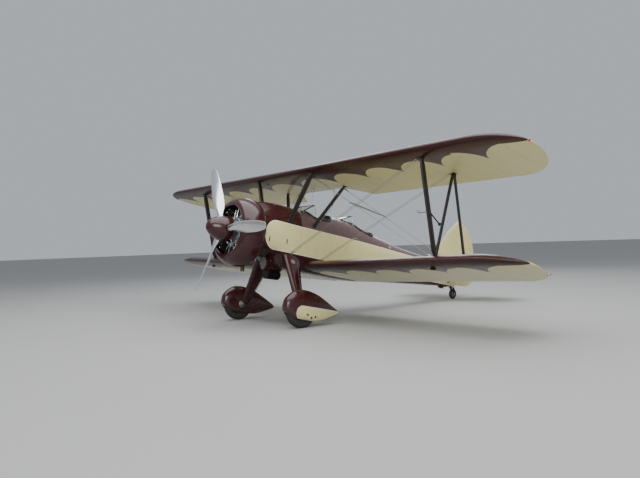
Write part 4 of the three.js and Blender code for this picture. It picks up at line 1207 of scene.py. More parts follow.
for side, turned_to in MIRROR.items():
    build("interplane_n_" + side, turned_to(interplane), "airframe",
          [strut_paint, steel], ["interplane_strut_" + side])
    for name, (y, z) in CABANE_FEET.items():
        shape = Shape()
        normal = hull_normal(y, z)
        low = Vector((hull_side(y, z), y, z)) - normal * 0.012
        high = on_wing(UPPER, *CABANE_HEADS[name], False)
        shape.bar(low, high, CABANE_SIZES[name],
                  shares=((0, 1), (0.86, 1), (0.93, 0.9), (0.98, 0.6), (1, 0.55)))
        fork(shape, high, low - high)
        chord = CABANE_SIZES[name][0]
        collar = [(0.036, 0.0), (0.034, 0.016), (0.024, 0.024)]
        rows = [at_height(rounded(wide, wide - 0.036 + chord * 0.62, wide * 0.9, 6), rise)
                for wide, rise in collar]
        shape.skin([moved(row, facing(low, normal)) for row in rows])
        build(name + "_fairing_" + side, turned_to(shape), "airframe",
              [strut_paint, steel], [name + "_" + side])


def wire_pair(shape, a, b, apart=0.022):
    """Two streamlined wires side by side, with their threaded ends and clevises."""
    a, b = Vector(a), Vector(b)
    along = (b - a).normalized()
    aft = (Vector((0, 1, 0)) - along * along.y).normalized()
    for side in (-1, 1):
        off = aft * apart * side
        shape.bar(a + off, b + off, (0.0125, 0.0042))
        for end, inward in ((a, along), (b, -along)):
            start = end + off
            shape.rod(start, start + inward * 0.10, 0.0042, 8)
            shape.rod(start + inward * 0.015, start + inward * 0.055, 0.0075, 6, paint=1)


def javelin(shape, a, b, thick=0.0135):
    a, b = Vector(a), Vector(b)
    shape.tube([mix(a, b, s) for s in (0, 0.02, 0.1, 0.5, 0.9, 0.98, 1)],
               [thick * f for f in (0.3, 0.75, 1, 1, 1, 0.75, 0.3)], 12)


FLYING_FEET = {"flying_wire_front": (0.400, 1.170, -0.222), "flying_wire_rear": (0.400, 1.850, -0.262)}
landing = Shape()
ends = {}
for spar in (FRONT_SPAR, REAR_SPAR):
    top = on_wing(UPPER, ROOT_WIRE_X, spar, False)
    low = on_wing(LOWER, WIRE_X, spar, True)
    ends[spar] = (top, low)
    wire_pair(landing, top, low)
share = 0.37
front_mid, rear_mid = (mix(*ends[spar], share) for spar in (FRONT_SPAR, REAR_SPAR))
javelin(landing, mix(front_mid, rear_mid, -0.08), mix(front_mid, rear_mid, 1.08))
for side, turned_to in MIRROR.items():
    build("landing_wire_set_" + side, turned_to(landing), "airframe",
          [stainless, steel, strut_paint], ["landing_wires_" + side])
    for name, (x, y, z) in FLYING_FEET.items():
        shape = Shape()
        spar = FRONT_SPAR if name.endswith("front") else REAR_SPAR
        start = Vector((hull_side(y, z) - 0.004, y, z))
        wire_pair(shape, start, on_wing(UPPER, WIRE_X, spar, False))
        shape.block((0.03, 0.034, 0.004), facing(start, (1, 0, 0)), 0.002, 0.012, paint=1)
        build(name + "_pair_" + side, turned_to(shape), "airframe",
              [stainless, steel], [name + "_" + side])


# Landing gear

LEG_TOP, LEG_FOOT = Vector((0.348, 1.196, -0.190)), Vector((0.892, 1.177, -1.215))
LEG_TOP_SIZE, LEG_FOOT_SIZE = (0.396, 0.104), (0.147, 0.093)
leg_face = facing(LEG_TOP, LEG_FOOT - LEG_TOP).to_3x3()
leg_aft = leg_face.col[1]
outward = leg_face.col[0] if leg_face.col[0].x > 0 else -leg_face.col[0]


def leg_bar(shape, first, last, grow):
    """The leg's streamlined bar from one share of its length to another."""
    places = [mix(LEG_TOP, LEG_FOOT, share) for share in (first, last)]
    sizes = [mix(LEG_TOP_SIZE, LEG_FOOT_SIZE, share) * grow for share in (first, last)]
    shape.bar(*places, *sizes, [(s, 1) for s in np.linspace(0, 1, 9)])


def leg_skin(share, along):
    """A place on the leg's outer side, at a share of its length and a share of its chord from the nose."""
    chord, thick = mix(LEG_TOP_SIZE, LEG_FOOT_SIZE, share)
    half = float(np.interp(along, *streamline(40)[:40].T + np.array([[0.5], [0]]))) * thick
    return Vector(mix(LEG_TOP, LEG_FOOT, share)) + leg_aft * (along - 0.5) * chord + outward * half


leg = Shape()
leg_bar(leg, 0, 1, 1)
leg_bar(leg, 0.315, 0.335, 1.03)
leg_bar(leg, 0.660, 0.675, 1.04)
for along in (0.27, 0.74):
    seam_line = [leg_skin(s, along) for s in np.linspace(0.16, 0.94, 30)]
    leg.tube(seam_line, 0.0032, 8)
    for place in seam_line[1:-1]:
        leg.stud(place + leg_aft * 0.013, outward, 0.0042, 0.0035, 8, paint=1)
disc = facing(leg_skin(0.215, 0.44) - outward * 0.002, outward)
leg.turn([(0.0, -0.01), (0.050, -0.01), (0.050, 0.003), (0.047, 0.006), (0, 0.006)], disc, 36)
leg.turn([(0.0, 0.0), (0.044, 0.0), (0.044, 0.009), (0.040, 0.012), (0.034, 0.012), (0.031, 0.007),
          (0, 0.007)],
         disc, 36, paint=2)
for k in range(6):
    a = k * TURN / 6
    leg.stud(disc @ Vector((0.0475 * math.cos(a), 0.0475 * math.sin(a), 0.006)), outward, 0.003, 0.003, 8,
             paint=1)
# The axle's carrier on the inner side of the pant
inner_side = WHEEL - Vector((0.137, 0, 0))
carrier = facing(inner_side, (-1, 0, 0), (0, 0, 1))
leg.turn([(0.0, -0.01), (0.070, -0.01), (0.070, 0.004), (0.064, 0.009), (0.040, 0.012), (0.038, 0.026),
          (0.030, 0.032), (0, 0.034)], carrier, 40, paint=3)
for k in range(6):
    a = (k + 0.5) * TURN / 6
    leg.stud(carrier @ Vector((0.054 * math.cos(a), 0.054 * math.sin(a), 0.010)), (-1, 0, 0), 0.007, 0.008,
             6, paint=1)
hose = [leg_skin(s, 0.985) + leg_aft * 0.006 - outward * 0.02 for s in np.linspace(0.36, 0.93, 16)]
hose += [inner_side + Vector((-0.020, 0.085, -0.015)), inner_side + Vector((-0.030, 0.050, -0.040))]
leg.tube(follow(hose, 40), 0.0055, 8, paint=4)

# Wheel pant sections: y, height of the widest line, reach above and below it, half width
PANT = [
    (0.736, -1.165, 0.004, 0.004, 0.004), (0.750, -1.165, 0.086, 0.075, 0.055),
    (0.800, -1.165, 0.151, 0.130, 0.092), (0.870, -1.163, 0.213, 0.185, 0.114),
    (0.980, -1.160, 0.267, 0.215, 0.131), (1.110, -1.160, 0.282, 0.222, 0.137),
    (1.260, -1.163, 0.274, 0.223, 0.136), (1.420, -1.168, 0.245, 0.209, 0.126),
    (1.600, -1.175, 0.181, 0.160, 0.100), (1.780, -1.182, 0.107, 0.086, 0.058),
    (1.920, -1.186, 0.041, 0.030, 0.022), (1.967, -1.187, 0.004, 0.004, 0.003),
]
PANT_TOP_POWER = 2.2
PANT_SKIRT_POWER = 4.5


def pant_ring(y, sides=96):
    z, up, down, wide = curve(PANT, [y])[0]
    a = TURN * (np.arange(sides) + 0.5) / sides
    c, s = np.cos(a), np.sin(a)
    power = 2 / np.where(s > 0, PANT_TOP_POWER, PANT_SKIRT_POWER)
    reach = np.where(s > 0, up, down)
    return np.column_stack((
        WHEEL.x + wide * np.sign(c) * np.abs(c) ** power, np.full(sides, y),
        z + reach * np.sign(s) * np.abs(s) ** power))


nose_places = 0.736 + 0.134 * (1 - np.cos(np.linspace(0, math.pi / 2, 16)))
pant_places = np.concatenate((nose_places, np.linspace(0.89, 1.967, 46)))
wheel_turn = facing(WHEEL, (1, 0, 0), (0, 0, 1))
bay = Shape()
bay.turn([(0, -0.084), (0.27, -0.084), (0.30, -0.076), (0.320, -0.052), (0.320, 0.052), (0.30, 0.076),
          (0.27, 0.084), (0, 0.084)], wheel_turn, 64, paint=1)
well_ring = rounded(0.084, 0.292, 0.07, 8)
well_ring = well_ring + (WHEEL.x, WHEEL.y)
bay_drop = Shape().skin([at_height(well_ring, z) for z in (-1.6, WHEEL.z + 0.05)], paint=1)
pant = make_object("pant_master", Shape().skin([pant_ring(y) for y in pant_places]))
cut(pant, bay, bay_drop)


def pant_side(y, z):
    """How far out the pant's skin is at a place on its outer side."""
    middle, up, down, wide = curve(PANT, [y])[0]
    reach, power = (up, PANT_TOP_POWER) if z > middle else (down, PANT_SKIRT_POWER)
    return WHEEL.x + wide * max(0.0, 1 - abs((z - middle) / reach) ** power) ** (1 / power)


trim = Shape()
for y, z in ((1.161, -1.287), (1.254, -1.328), (1.336, -1.305)):
    place = Vector((pant_side(y, z), y, z))
    trim.turn([(0.0, 0.0015), (0.016, 0.0015), (0.018, 0.003), (0.020, 0.001), (0.020, -0.010),
               (0, -0.010)],
              facing(place, (1, 0, -0.15)), 24)
FLANGE = [(0.90, -1.062), (1.05, -1.034), (1.23, -1.037), (1.515, -1.070), (1.828, -1.135), (1.90, -1.157)]
for s in (-1, 1):
    flange = [Vector((WHEEL.x + s * (pant_side(y, z) - WHEEL.x), y, z)) for y, z in follow(FLANGE, 60)]
    trim.tube(flange, 0.0042, 8, paint=2)
    for place in flange[2:-2:3]:
        trim.stud(place + Vector((0, 0, -0.014)), (s, 0, 0.3), 0.0045, 0.0028, 8, paint=1)
crown = [Vector((WHEEL.x, y, sum(curve(PANT, [y])[0][:2]) + 0.0005)) for y in np.linspace(0.78, 1.93, 40)]
trim.tube(crown, 0.003, 8, paint=2)

TYRE = [
    (0.188, -0.052), (0.196, -0.060), (0.205, -0.064), (0.225, -0.071), (0.244, -0.0745), (0.262, -0.072),
    (0.280, -0.064), (0.291, -0.053), (0.298, -0.042), (0.3015, -0.036), (0.2965, -0.0345),
    (0.2965, -0.0305), (0.3030, -0.029), (0.3037, -0.014), (0.2975, -0.012), (0.2975, -0.008),
    (0.3045, -0.0065), (0.3048, 0.0),
]


def wheel_shape(tyre_profile):
    profile = tyre_profile + [(r, -t) for r, t in tyre_profile[-2::-1]]
    return Shape().turn(profile, wheel_turn, 96, closed=True)


tyre = wheel_shape(TYRE)
rim = Shape()
half_rim = [(0.0262, 0.072), (0.05, 0.072), (0.058, 0.066), (0.062, 0.05), (0.064, 0.036), (0.10, 0.030),
            (0.145, 0.034), (0.165, 0.044), (0.178, 0.058), (0.186, 0.0615), (0.1875, 0.055)]
rim.turn(half_rim + [(r, -t) for r, t in half_rim[::-1]], wheel_turn, 64, closed=True)
for k in range(8):
    for side in (-1, 1):
        at = wheel_turn @ Vector((0.08 * math.cos(k * TURN / 8), 0.08 * math.sin(k * TURN / 8),
                                  0.033 * side))
        rim.stud(at, (side, 0, 0), 0.008, 0.008, 6, paint=1)
axle = Shape()
axle.turn([(0, -0.1155), (0.020, -0.1155), (0.0248, -0.111), (0.0248, 0.111), (0.020, 0.1155),
           (0, 0.1155)], wheel_turn, 32)
axle.turn([(0, 0.074), (0.034, 0.074), (0.034, 0.092), (0, 0.092)], wheel_turn, 6)

for side, turned_to in MIRROR.items():
    build("leg_fairing_" + side, turned_to(leg), "airframe",
          [maroon, steel, pale_plate_maroon, casting, black_leather], ["gear_leg_" + side])
    mesh = pant.data.copy()
    if side == "starboard":
        mesh.transform(Matrix.Scale(-1, 4, (1, 0, 0)))
        mesh.flip_normals()
    piece = bpy.data.objects.new("pant_shell_" + side, mesh)
    bpy.context.scene.collection.objects.link(piece)
    dress(piece, "airframe", [pant_enamel, dark_metal], ["wheel_pant_" + side])
    build("pant_trim_" + side, turned_to(trim), "airframe", [dark_metal, steel, maroon])
    build("tyre_" + side, turned_to(tyre), "wheel_" + side, [tyre_rubber], ["main_tyre_" + side])
    build("rim_" + side, turned_to(rim), "wheel_" + side, [casting, steel],
          ["main_rim_" + side])
    build("axle_" + side, turned_to(axle), "airframe", [steel], ["main_axle_" + side])
bpy.data.objects.remove(pant)


# Tail

# Upright tail: height, front edge, rear edge
FIN = [
    (-0.095, 5.300, 6.660), (-0.070, 5.300, 6.830), (0.010, 5.300, 6.990), (0.150, 5.300, 7.105),
    (0.300, 5.300, 7.145), (0.440, 5.480, 7.143), (0.610, 5.622, 7.075), (0.830, 5.765, 6.985),
    (1.015, 5.900, 6.910), (1.160, 6.025, 6.822), (1.290, 6.160, 6.680), (1.380, 6.250, 6.520),
    (1.432, 6.315, 6.440),
]
# Tailplane: distance out, front edge, rear edge
PLANE = [
    (0.060, 5.560, 6.890), (0.500, 5.680, 6.890), (1.000, 5.815, 6.880), (1.300, 5.905, 6.840),
    (1.480, 5.985, 6.740), (1.570, 6.060, 6.600), (1.612, 6.130, 6.420),
]
FIN_HALF = 0.030
PLANE_HALF = 0.027
NOSE_GAP = 0.0055


def tail_half(aft, front, hinge, rear, half):
    """Half thickness at a distance aft, from the leading edge to the trailing edge."""
    ahead = np.clip((aft - front) / (hinge - front), 0, 1)
    behind = np.clip((aft - hinge) / (rear - hinge), 0, 1)
    rise = curve([(0, 0.14), (0.02, 0.3), (0.08, 0.46), (0.4, 0.82), (1, 1)], ahead)[:, 0]
    fall = curve([(0, 1), (0.55, 0.55), (0.97, 0.16), (1, 0.10)], behind)[:, 0]
    return half * np.where(aft < hinge, rise, fall)


def tail_surface(outline, hinge, half, at, stations, moving):
    """Rows and chart of a fixed or a moving tail surface; at turns (along, aft, out) to a point."""
    rows, charts = [], []
    for s in stations:
        front, rear = curve(outline, [s])[0]
        if moving:
            aft = np.linspace(hinge, rear, 16)
            t = tail_half(aft, front, hinge, rear, half)
            a = np.linspace(math.pi / 2, 3 * math.pi / 2, 11)[1:-1]
            y = np.concatenate((aft[::-1], hinge + t[0] * np.cos(a), aft))
            out = np.concatenate((t[::-1], t[0] * np.sin(a), -t))
        else:
            end = hinge - 0.014
            share = np.linspace(0, 1, 18) ** 1.5
            aft = front + (end - front) * share
            t = tail_half(aft, front, hinge, rear, half)
            a = np.linspace(-math.pi / 2, math.pi / 2, 9)[1:-1]
            cove = end - (half + NOSE_GAP - 0.014) * 0.72 * np.cos(a)
            y = np.concatenate((aft[::-1], aft[1:], cove))
            out = np.concatenate((t[::-1], -t[1:], t[-1] * np.sin(a)))
        sag = 0.0022 * abs(math.sin(math.pi * s / TAIL_RIB_PITCH))
        out = out * (1 - sag / half * (np.abs(out) > half * 0.5))
        rows.append([at(s, aft_place, side) for aft_place, side in zip(y, out)])
        charts.append(np.column_stack((np.full(y.shape, s), y, np.sign(out))))
    return rows, np.array(charts)


def upright(s, aft_place, side):
    return (side, aft_place, s)


def flat(s, aft_place, side):
    return (s, aft_place, TAILPLANE_Z + side)


fin_stations = np.concatenate((np.linspace(0.335, 1.30, 40), np.linspace(1.31, 1.432, 10)))
rows, charts = tail_surface(FIN, RUDDER_HINGE, FIN_HALF, upright, fin_stations, False)
fin = Shape().skin(rows, chart=charts)
fin.rod((0, RUDDER_HINGE, 0.93), (0, RUDDER_HINGE, 0.97), 0.006, 10, paint=1)
fin.block((0.004, 0.030, 0.012), facing((0, RUDDER_HINGE - 0.024, 0.95), (0, 0, 1)), 0.002, paint=1)
fin.turn([(0, 0.0), (0.018, 0.0), (0.018, 0.018), (0.010, 0.032), (0, 0.036)],
         facing((0, 6.335, 1.425), (0, -0.3, 1)), 20, paint=2)
build("fin_skin", fin, "airframe", [tail_fabric, steel, clear_lamp], ["fin"])

rudder_stations = np.concatenate((np.linspace(-0.095, 1.30, 58), np.linspace(1.31, 1.432, 10)))
rows, charts = tail_surface(FIN, RUDDER_HINGE, FIN_HALF - 0.0005, upright, rudder_stations, True)
rudder = Shape().skin(rows, chart=charts)
rudder.block((0.045, 0.008, 0.006), facing((0, 6.47, 0.10), (0, 0, 1)), 0.003, paint=1)
rudder.stud((0.0, 7.146, 0.36), (0, 1, 0), 0.014, 0.02, 16, paint=2)
build("rudder_skin", rudder, "rudder", [tail_fabric, steel, clear_lamp], ["rudder"])

plane_stations = np.concatenate((np.linspace(0.075, 1.50, 52), np.linspace(1.51, 1.612, 8)))
rows, charts = tail_surface(PLANE, ELEVATOR_HINGE, PLANE_HALF, flat, plane_stations, False)
stabiliser = Shape().skin(rows, chart=charts)

elevator_stations = np.concatenate((np.linspace(0.330, 1.50, 44), np.linspace(1.51, 1.612, 8)))
rows, charts = tail_surface(PLANE, ELEVATOR_HINGE, PLANE_HALF - 0.0005, flat, elevator_stations, True)
elevator = Shape().skin(rows, chart=charts)
# Inboard its rear edge is cut away so that the rudder can swing
inner_rows, inner_charts = [], []
for s in np.linspace(0.118, 0.3299, 12):
    front, rear = curve(PLANE, [s])[0]
    end = min(rear, 6.300 + (s - 0.118) / 0.282 * 0.700)
    aft_places = np.linspace(ELEVATOR_HINGE, end, 12)
    t = tail_half(aft_places, front, ELEVATOR_HINGE, rear, PLANE_HALF - 0.0005)
    a = np.linspace(math.pi / 2, 3 * math.pi / 2, 11)[1:-1]
    y = np.concatenate((aft_places[::-1], ELEVATOR_HINGE + t[0] * np.cos(a), aft_places))
    out = np.concatenate((t[::-1], t[0] * np.sin(a), -t))
    inner_rows.append([flat(s, yy, oo) for yy, oo in zip(y, out)])
    inner_charts.append(np.column_stack((np.full(y.shape, s), y, np.sign(out))))
elevator.skin(inner_rows, chart=np.array(inner_charts))
elevator.both()
elevator.rod((-0.13, ELEVATOR_HINGE, TAILPLANE_Z), (0.13, ELEVATOR_HINGE, TAILPLANE_Z), 0.0168, 20, paint=1)
for x in (-0.9, 0.9):
    elevator.block((0.006, 0.05, 0.02), facing((x, ELEVATOR_HINGE + 0.10, TAILPLANE_Z + 0.03), (0, 0, 1)),
                   0.002, paint=1)
build("elevator_skin", elevator, "elevator", [tail_fabric, steel], ["elevator"])

# Tail wheel, written upright about its axle
AT_TAIL = PARK.inverted() @ Matrix.Translation((0, 6.156 + ROW_SHIFT, 0.1207))
CASTER_BACK = -0.062
PLATE = 0.150
axle_line = AT_TAIL @ facing((0, 0, 0), (1, 0, 0), (0, 0, 1))
caster_line = AT_TAIL @ Matrix.Translation((0, CASTER_BACK, 0))

tail_tyre = Shape()
HALF_TYRE = [(0.062, -0.026), (0.070, -0.0275), (0.090, -0.030), (0.104, -0.0275), (0.112, -0.022),
             (0.1185, -0.014), (0.1215, -0.007), (0.1220, 0.0)]
tail_tyre.turn(HALF_TYRE + [(r, -t) for r, t in HALF_TYRE[-2::-1]], axle_line, 64, closed=True)
tail_tyre.turn([(0.0129, -0.025), (0.03, -0.025), (0.034, -0.018), (0.045, -0.014), (0.058, -0.022),
                (0.063, -0.024),
                (0.063, 0.024), (0.058, 0.022), (0.045, 0.014), (0.034, 0.018), (0.03, 0.025),
                (0.0129, 0.025)],
               axle_line, 48, closed=True, paint=1)

tail_fork = Shape()
tail_fork.block((0.046, 0.066, 0.007), AT_TAIL @ Matrix.Translation((0, -0.036, PLATE - 0.007)), 0.003,
                0.02)
for s in (-1, 1):
    rows = []
    for z, y_from, y_to in ((-0.024, -0.010, 0.010), (-0.018, -0.018, 0.018), (0.0, -0.022, 0.022),
                            (0.05, -0.025, 0.023), (0.110, -0.034, 0.027), (PLATE - 0.004, -0.040, 0.028)):
        ring = rounded(0.005, (y_to - y_from) / 2, 0.0045, 4)
        rows.append(at_height(ring + (0.041 * s, (y_to + y_from) / 2), z))
    tail_fork.skin(rows, matrix=AT_TAIL)
    tail_fork.turn([(0, 0.046), (0.016, 0.046), (0.016, 0.053), (0, 0.053)],
                   axle_line if s > 0 else axle_line @ Matrix.Rotation(TURN / 2, 4, "X"), 6, paint=1)
tail_fork.turn([(0, -0.05), (0.0118, -0.05), (0.0118, 0.05), (0, 0.05)], axle_line, 20, paint=1)
tail_fork.turn([(0.0129, PLATE - 0.02), (0.030, PLATE - 0.02), (0.030, PLATE + 0.011),
                (0.027, PLATE + 0.0138), (0.0129, PLATE + 0.0138)],
               caster_line, 32, closed=True)
tail_fork.turn([(0.0129, PLATE - 0.02), (0.0135, PLATE - 0.02), (0.0135, PLATE + 0.0138),
                (0.0129, PLATE + 0.0138)],
               caster_line, 32, closed=True)

spring = Shape()
spring_end = AT_TAIL @ Vector((0, CASTER_BACK, PLATE + 0.026))
for leaf, reach in ((-1, 0.45), (0, 0.72), (1, 1.0)):
    start = Vector((0, 5.850, -0.215 + leaf * 0.006))
    end = Vector((0, spring_end.y + 0.040, spring_end.z + 0.004 + leaf * 0.006))
    tip = mix(start, end, reach)
    path = [mix(start, tip, s) for s in np.linspace(0, 1, 10)]
    rows = []
    for k, point in enumerate(path):
        wide = 0.034 * (1 if k < 9 else 0.8)
        ring = rounded(wide, 0.0029, 0.0025, 3)
        rows.append(point + np.column_stack((ring[:, 0], np.zeros(len(ring)), ring[:, 1])))
    spring.skin(rows)
for y in (5.862, 5.93):
    spring.block((0.046, 0.010, 0.016), facing((0, y, -0.222 - (y - 5.85) * 0.1), (0, 0, 1)), 0.003, 0.006)
    for s in (-1, 1):
        spring.stud(Vector((0.040 * s, y, -0.238 - (y - 5.85) * 0.1)), (0, 0, -1), 0.007, 0.006, 6, paint=1)
spring.block((0.05, 0.065, 0.045), facing((0, 5.895, -0.165), (0, 0, 1)), 0.006, 0.02)
spring.turn([(0, PLATE - 0.034), (0.020, PLATE - 0.034), (0.020, PLATE - 0.0212), (0.0118, PLATE - 0.0212),
             (0.0118, PLATE + 0.0152),
             (0.030, PLATE + 0.0152), (0.030, PLATE + 0.038), (0.024, PLATE + 0.044),
             (0, PLATE + 0.044)], caster_line, 32)
for s in (-1, 1):
    spring.rod(AT_TAIL @ Vector((0.05 * s, CASTER_BACK - 0.01, PLATE + 0.018)), (0.05 * s, 6.24, -0.06),
               0.0025, 8, paint=1)

tail_strut = Shape()
tail_strut.bar((hull_side(5.985, -0.11) - 0.004, 5.985, -0.11), (0.9, 6.04, TAILPLANE_Z - 0.022),
               (0.046, 0.020),
               shares=ENDS)
tail_wires = Shape()
tail_wires.bar((0.024, 6.15, 0.98), (1.0, 5.98, TAILPLANE_Z + 0.022), (0.0075, 0.003))
for side, turned_to in MIRROR.items():
    build("stabiliser_skin_" + side, turned_to(stabiliser), "airframe",
          [tail_fabric, steel], ["stabiliser_" + side])
    build("tail_strut_" + side, turned_to(tail_strut), "airframe", [strut_paint],
          ["stabiliser_strut_" + side])
    build("tail_wire_" + side, turned_to(tail_wires), "airframe", [stainless])

build("tail_spring_leaves", spring, "airframe", [dark_metal, steel], ["tail_spring"])
build("tail_fork_arms", tail_fork, "tail_steering", [dark_metal, steel], ["tail_fork"])
build("tail_tyre_tread", tail_tyre, "tail_wheel", [tyre_rubber, casting], ["tail_tyre"])


# Cockpits

def pane(a, b, c, d, thick=0.0025):
    """A flat or slightly warped sheet between four corners."""
    a, b, c, d = (Vector(p) for p in (a, b, c, d))
    normal = (b - a).cross(d - a).normalized() * thick
    shape = Shape()
    count = 7
    shares = np.linspace(0, 1, count)
    rows = []
    for off in (normal, -normal):
        rows.append([mix(mix(a, b, s), mix(d, c, s), t) + np.array(off) for t in shares for s in shares])
    for side, points in enumerate(rows):
        faces = [(r * count + k, r * count + k + 1, (r + 1) * count + k + 1, (r + 1) * count + k)
                 for r in range(count - 1) for k in range(count - 1)]
        shape.add(points, faces)
    edge = [r * count for r in range(count)] + [(count - 1) * count + k for k in range(1, count)]
    edge += [r * count + count - 1 for r in range(count - 2, -1, -1)] + list(range(count - 2, 0, -1))
    strip = [np.array([side[k] for k in edge]) for side in rows]
    return shape.skin(strip, caps=(False, False))


def windshield(y, z, half, lean, height, back, out):
    """A raked front pane and two side panes that stand on the deck, in a frame of tube."""
    glass_part, frame_part = Shape(), Shape()

    def on_deck(front_x, where):
        """Where the pane that leaves the corner at front_x aft and out meets the deck."""
        x = front_x
        for _ in range(40):
            height_here = hull_top(x, where)
            x = 0.5 * x + 0.5 * (half + out / back * (where - y - lean * (height_here - z)))
        return Vector((x, where, hull_top(x, where)))

    deck_y = y
    for _ in range(40):
        deck_y = y + lean * (hull_top(half, deck_y) - z)
    top = {s: Vector((half * s, y + lean * height, z + height)) for s in (-1, 1)}
    foot = {s: Vector((half * s, deck_y, hull_top(half, deck_y))) for s in (-1, 1)}
    rest = on_deck(half + out, y + back)
    tail = {s: Vector((rest.x * s, rest.y, rest.z)) for s in (-1, 1)}
    high_x = half + out / back * (back - lean * height)
    heel = {s: Vector((high_x * s, y + back, z + height - 0.008)) for s in (-1, 1)}
    glass_part.join(pane(foot[-1], foot[1], top[1], top[-1]))
    for s in (-1, 1):
        glass_part.join(pane(foot[s], tail[s], heel[s], top[s]))
        frame_part.tube(follow([foot[s], mix(foot[s], top[s], 0.5), top[s]], 8), 0.0105, 12)
        frame_part.tube([top[s] - Vector((0.012 * s, 0, 0)), top[s], top[s] + Vector((0.012 * s, 0, 0))],
                        [0.004, 0.0145, 0.004], 14)
        frame_part.tube([top[s], mix(top[s], heel[s], 0.5), heel[s]], 0.005, 10)
        frame_part.tube([heel[s], mix(heel[s], tail[s], 0.5), tail[s]], 0.0065, 10, paint=1)
        sill = [mix(foot[s], tail[s], k) for k in np.linspace(0, 1, 11)]
        sill = [(x, yy, hull_top(x, yy) + 0.002) for x, yy, _ in sill]
        frame_part.tube(sill, 0.010, 10)
        for place in sill[1:-1:2]:
            frame_part.stud(Vector(place) + Vector((0.013 * s, 0, -0.004)), (0.7 * s, 0, 1), 0.004, 0.003,
                            8, paint=1)
    frame_part.tube([mix(top[-1], top[1], k) for k in np.linspace(0, 1, 9)], 0.008, 10)
    sill = [(x, deck_y - 0.03 * (1 - (x / half) ** 2), 0) for x in np.linspace(-half, half, 15)]
    sill = [(x, yy, hull_top(x, yy) + 0.002) for x, yy, _ in sill]
    frame_part.tube(sill, 0.006, 8)
    for place in sill[1:-1:2]:
        frame_part.stud(Vector(place) + Vector((0, -0.009, -0.001)), (0, -0.4, 1), 0.004, 0.003, 8, paint=1)
    return glass_part, frame_part


WINDSHIELDS = {
    "front": {"y": 1.470, "z": 0.612, "half": 0.205, "lean": 1.45, "height": 0.170, "back": 0.265,
              "out": 0.060},
    "rear": {"y": 2.430, "z": 0.655, "half": 0.175, "lean": 2.2, "height": 0.125, "back": 0.300,
             "out": 0.050},
}


def cushion(half_x, half_y, thick, matrix, channels=4):
    """A crowned pad, pulled in along its sides, with sewn channels and a welt round its edge."""
    nx, ny = 42, 34
    u, v = np.meshgrid(np.linspace(-1, 1, nx), np.linspace(-1, 1, ny))
    pull = 1 - 0.035 * (1 - v**2), 1 - 0.035 * (1 - u**2)
    r = 0.22
    x = u * half_x * pull[0]
    y = v * half_y * pull[1]
    corner = np.maximum(0, np.abs(u) - (1 - r)) ** 2 + np.maximum(0, np.abs(v) - (1 - r)) ** 2
    shrink = np.where(corner > r * r, r / np.sqrt(np.maximum(corner, 1e-9)), 1)

    def drawn_in(place, share, reach):
        start = np.sign(place) * reach * (1 - r)
        return np.where(np.abs(share) > 1 - r, start + (place - start) * shrink, place)

    x = drawn_in(x, u, half_x * pull[0])
    y = drawn_in(y, v, half_y * pull[1])
    edge = np.maximum(np.abs(u) ** 5, np.abs(v) ** 5)
    crown = thick * np.sqrt(np.maximum(0, 1 - edge))
    seam_at = np.abs(((u * channels / 2 + 0.5) % 1) - 0.5) * 2
    dimple = 1 - 0.30 * np.exp(-(seam_at / 0.10) ** 2) * (edge < 0.97)
    wrinkle = 0.0014 * np.sin(v * 21 + np.sin(u * 5)) * np.exp(-(seam_at / 0.3) ** 2)
    upper = np.stack((x, y, crown * dimple + wrinkle * (1 - edge)), axis=-1)
    lower = np.stack((x, y, -0.25 * crown), axis=-1)
    shape = Shape()
    shape.skin(upper, wrap=False, matrix=matrix)
    shape.skin(lower, wrap=False, matrix=matrix)
    edges = np.concatenate((upper[0], upper[1:, -1], upper[-1, -2::-1], upper[-2:0:-1, 0]))
    shape.tube(moved(edges, matrix), 0.0042, 8, closed=True)
    return shape


BELT_WIDTH = 0.045
BELT_HALF_THICKNESS = 0.0022


def belt_run(shape, points, across=(1, 0, 0)):
    """A flat strap along a line, with its width across."""
    path = follow(points, 24)
    ahead = np.gradient(path, axis=0)
    side = Vector(across)
    rows = []
    for point, along in zip(path, ahead):
        normal = np.array(Vector(along).normalized().cross(side).normalized()) * BELT_HALF_THICKNESS
        cross = np.array(side) * BELT_WIDTH / 2
        rows.append([point - cross - normal, point + cross - normal, point + cross + normal,
                     point - cross + normal])
    return shape.skin(rows)


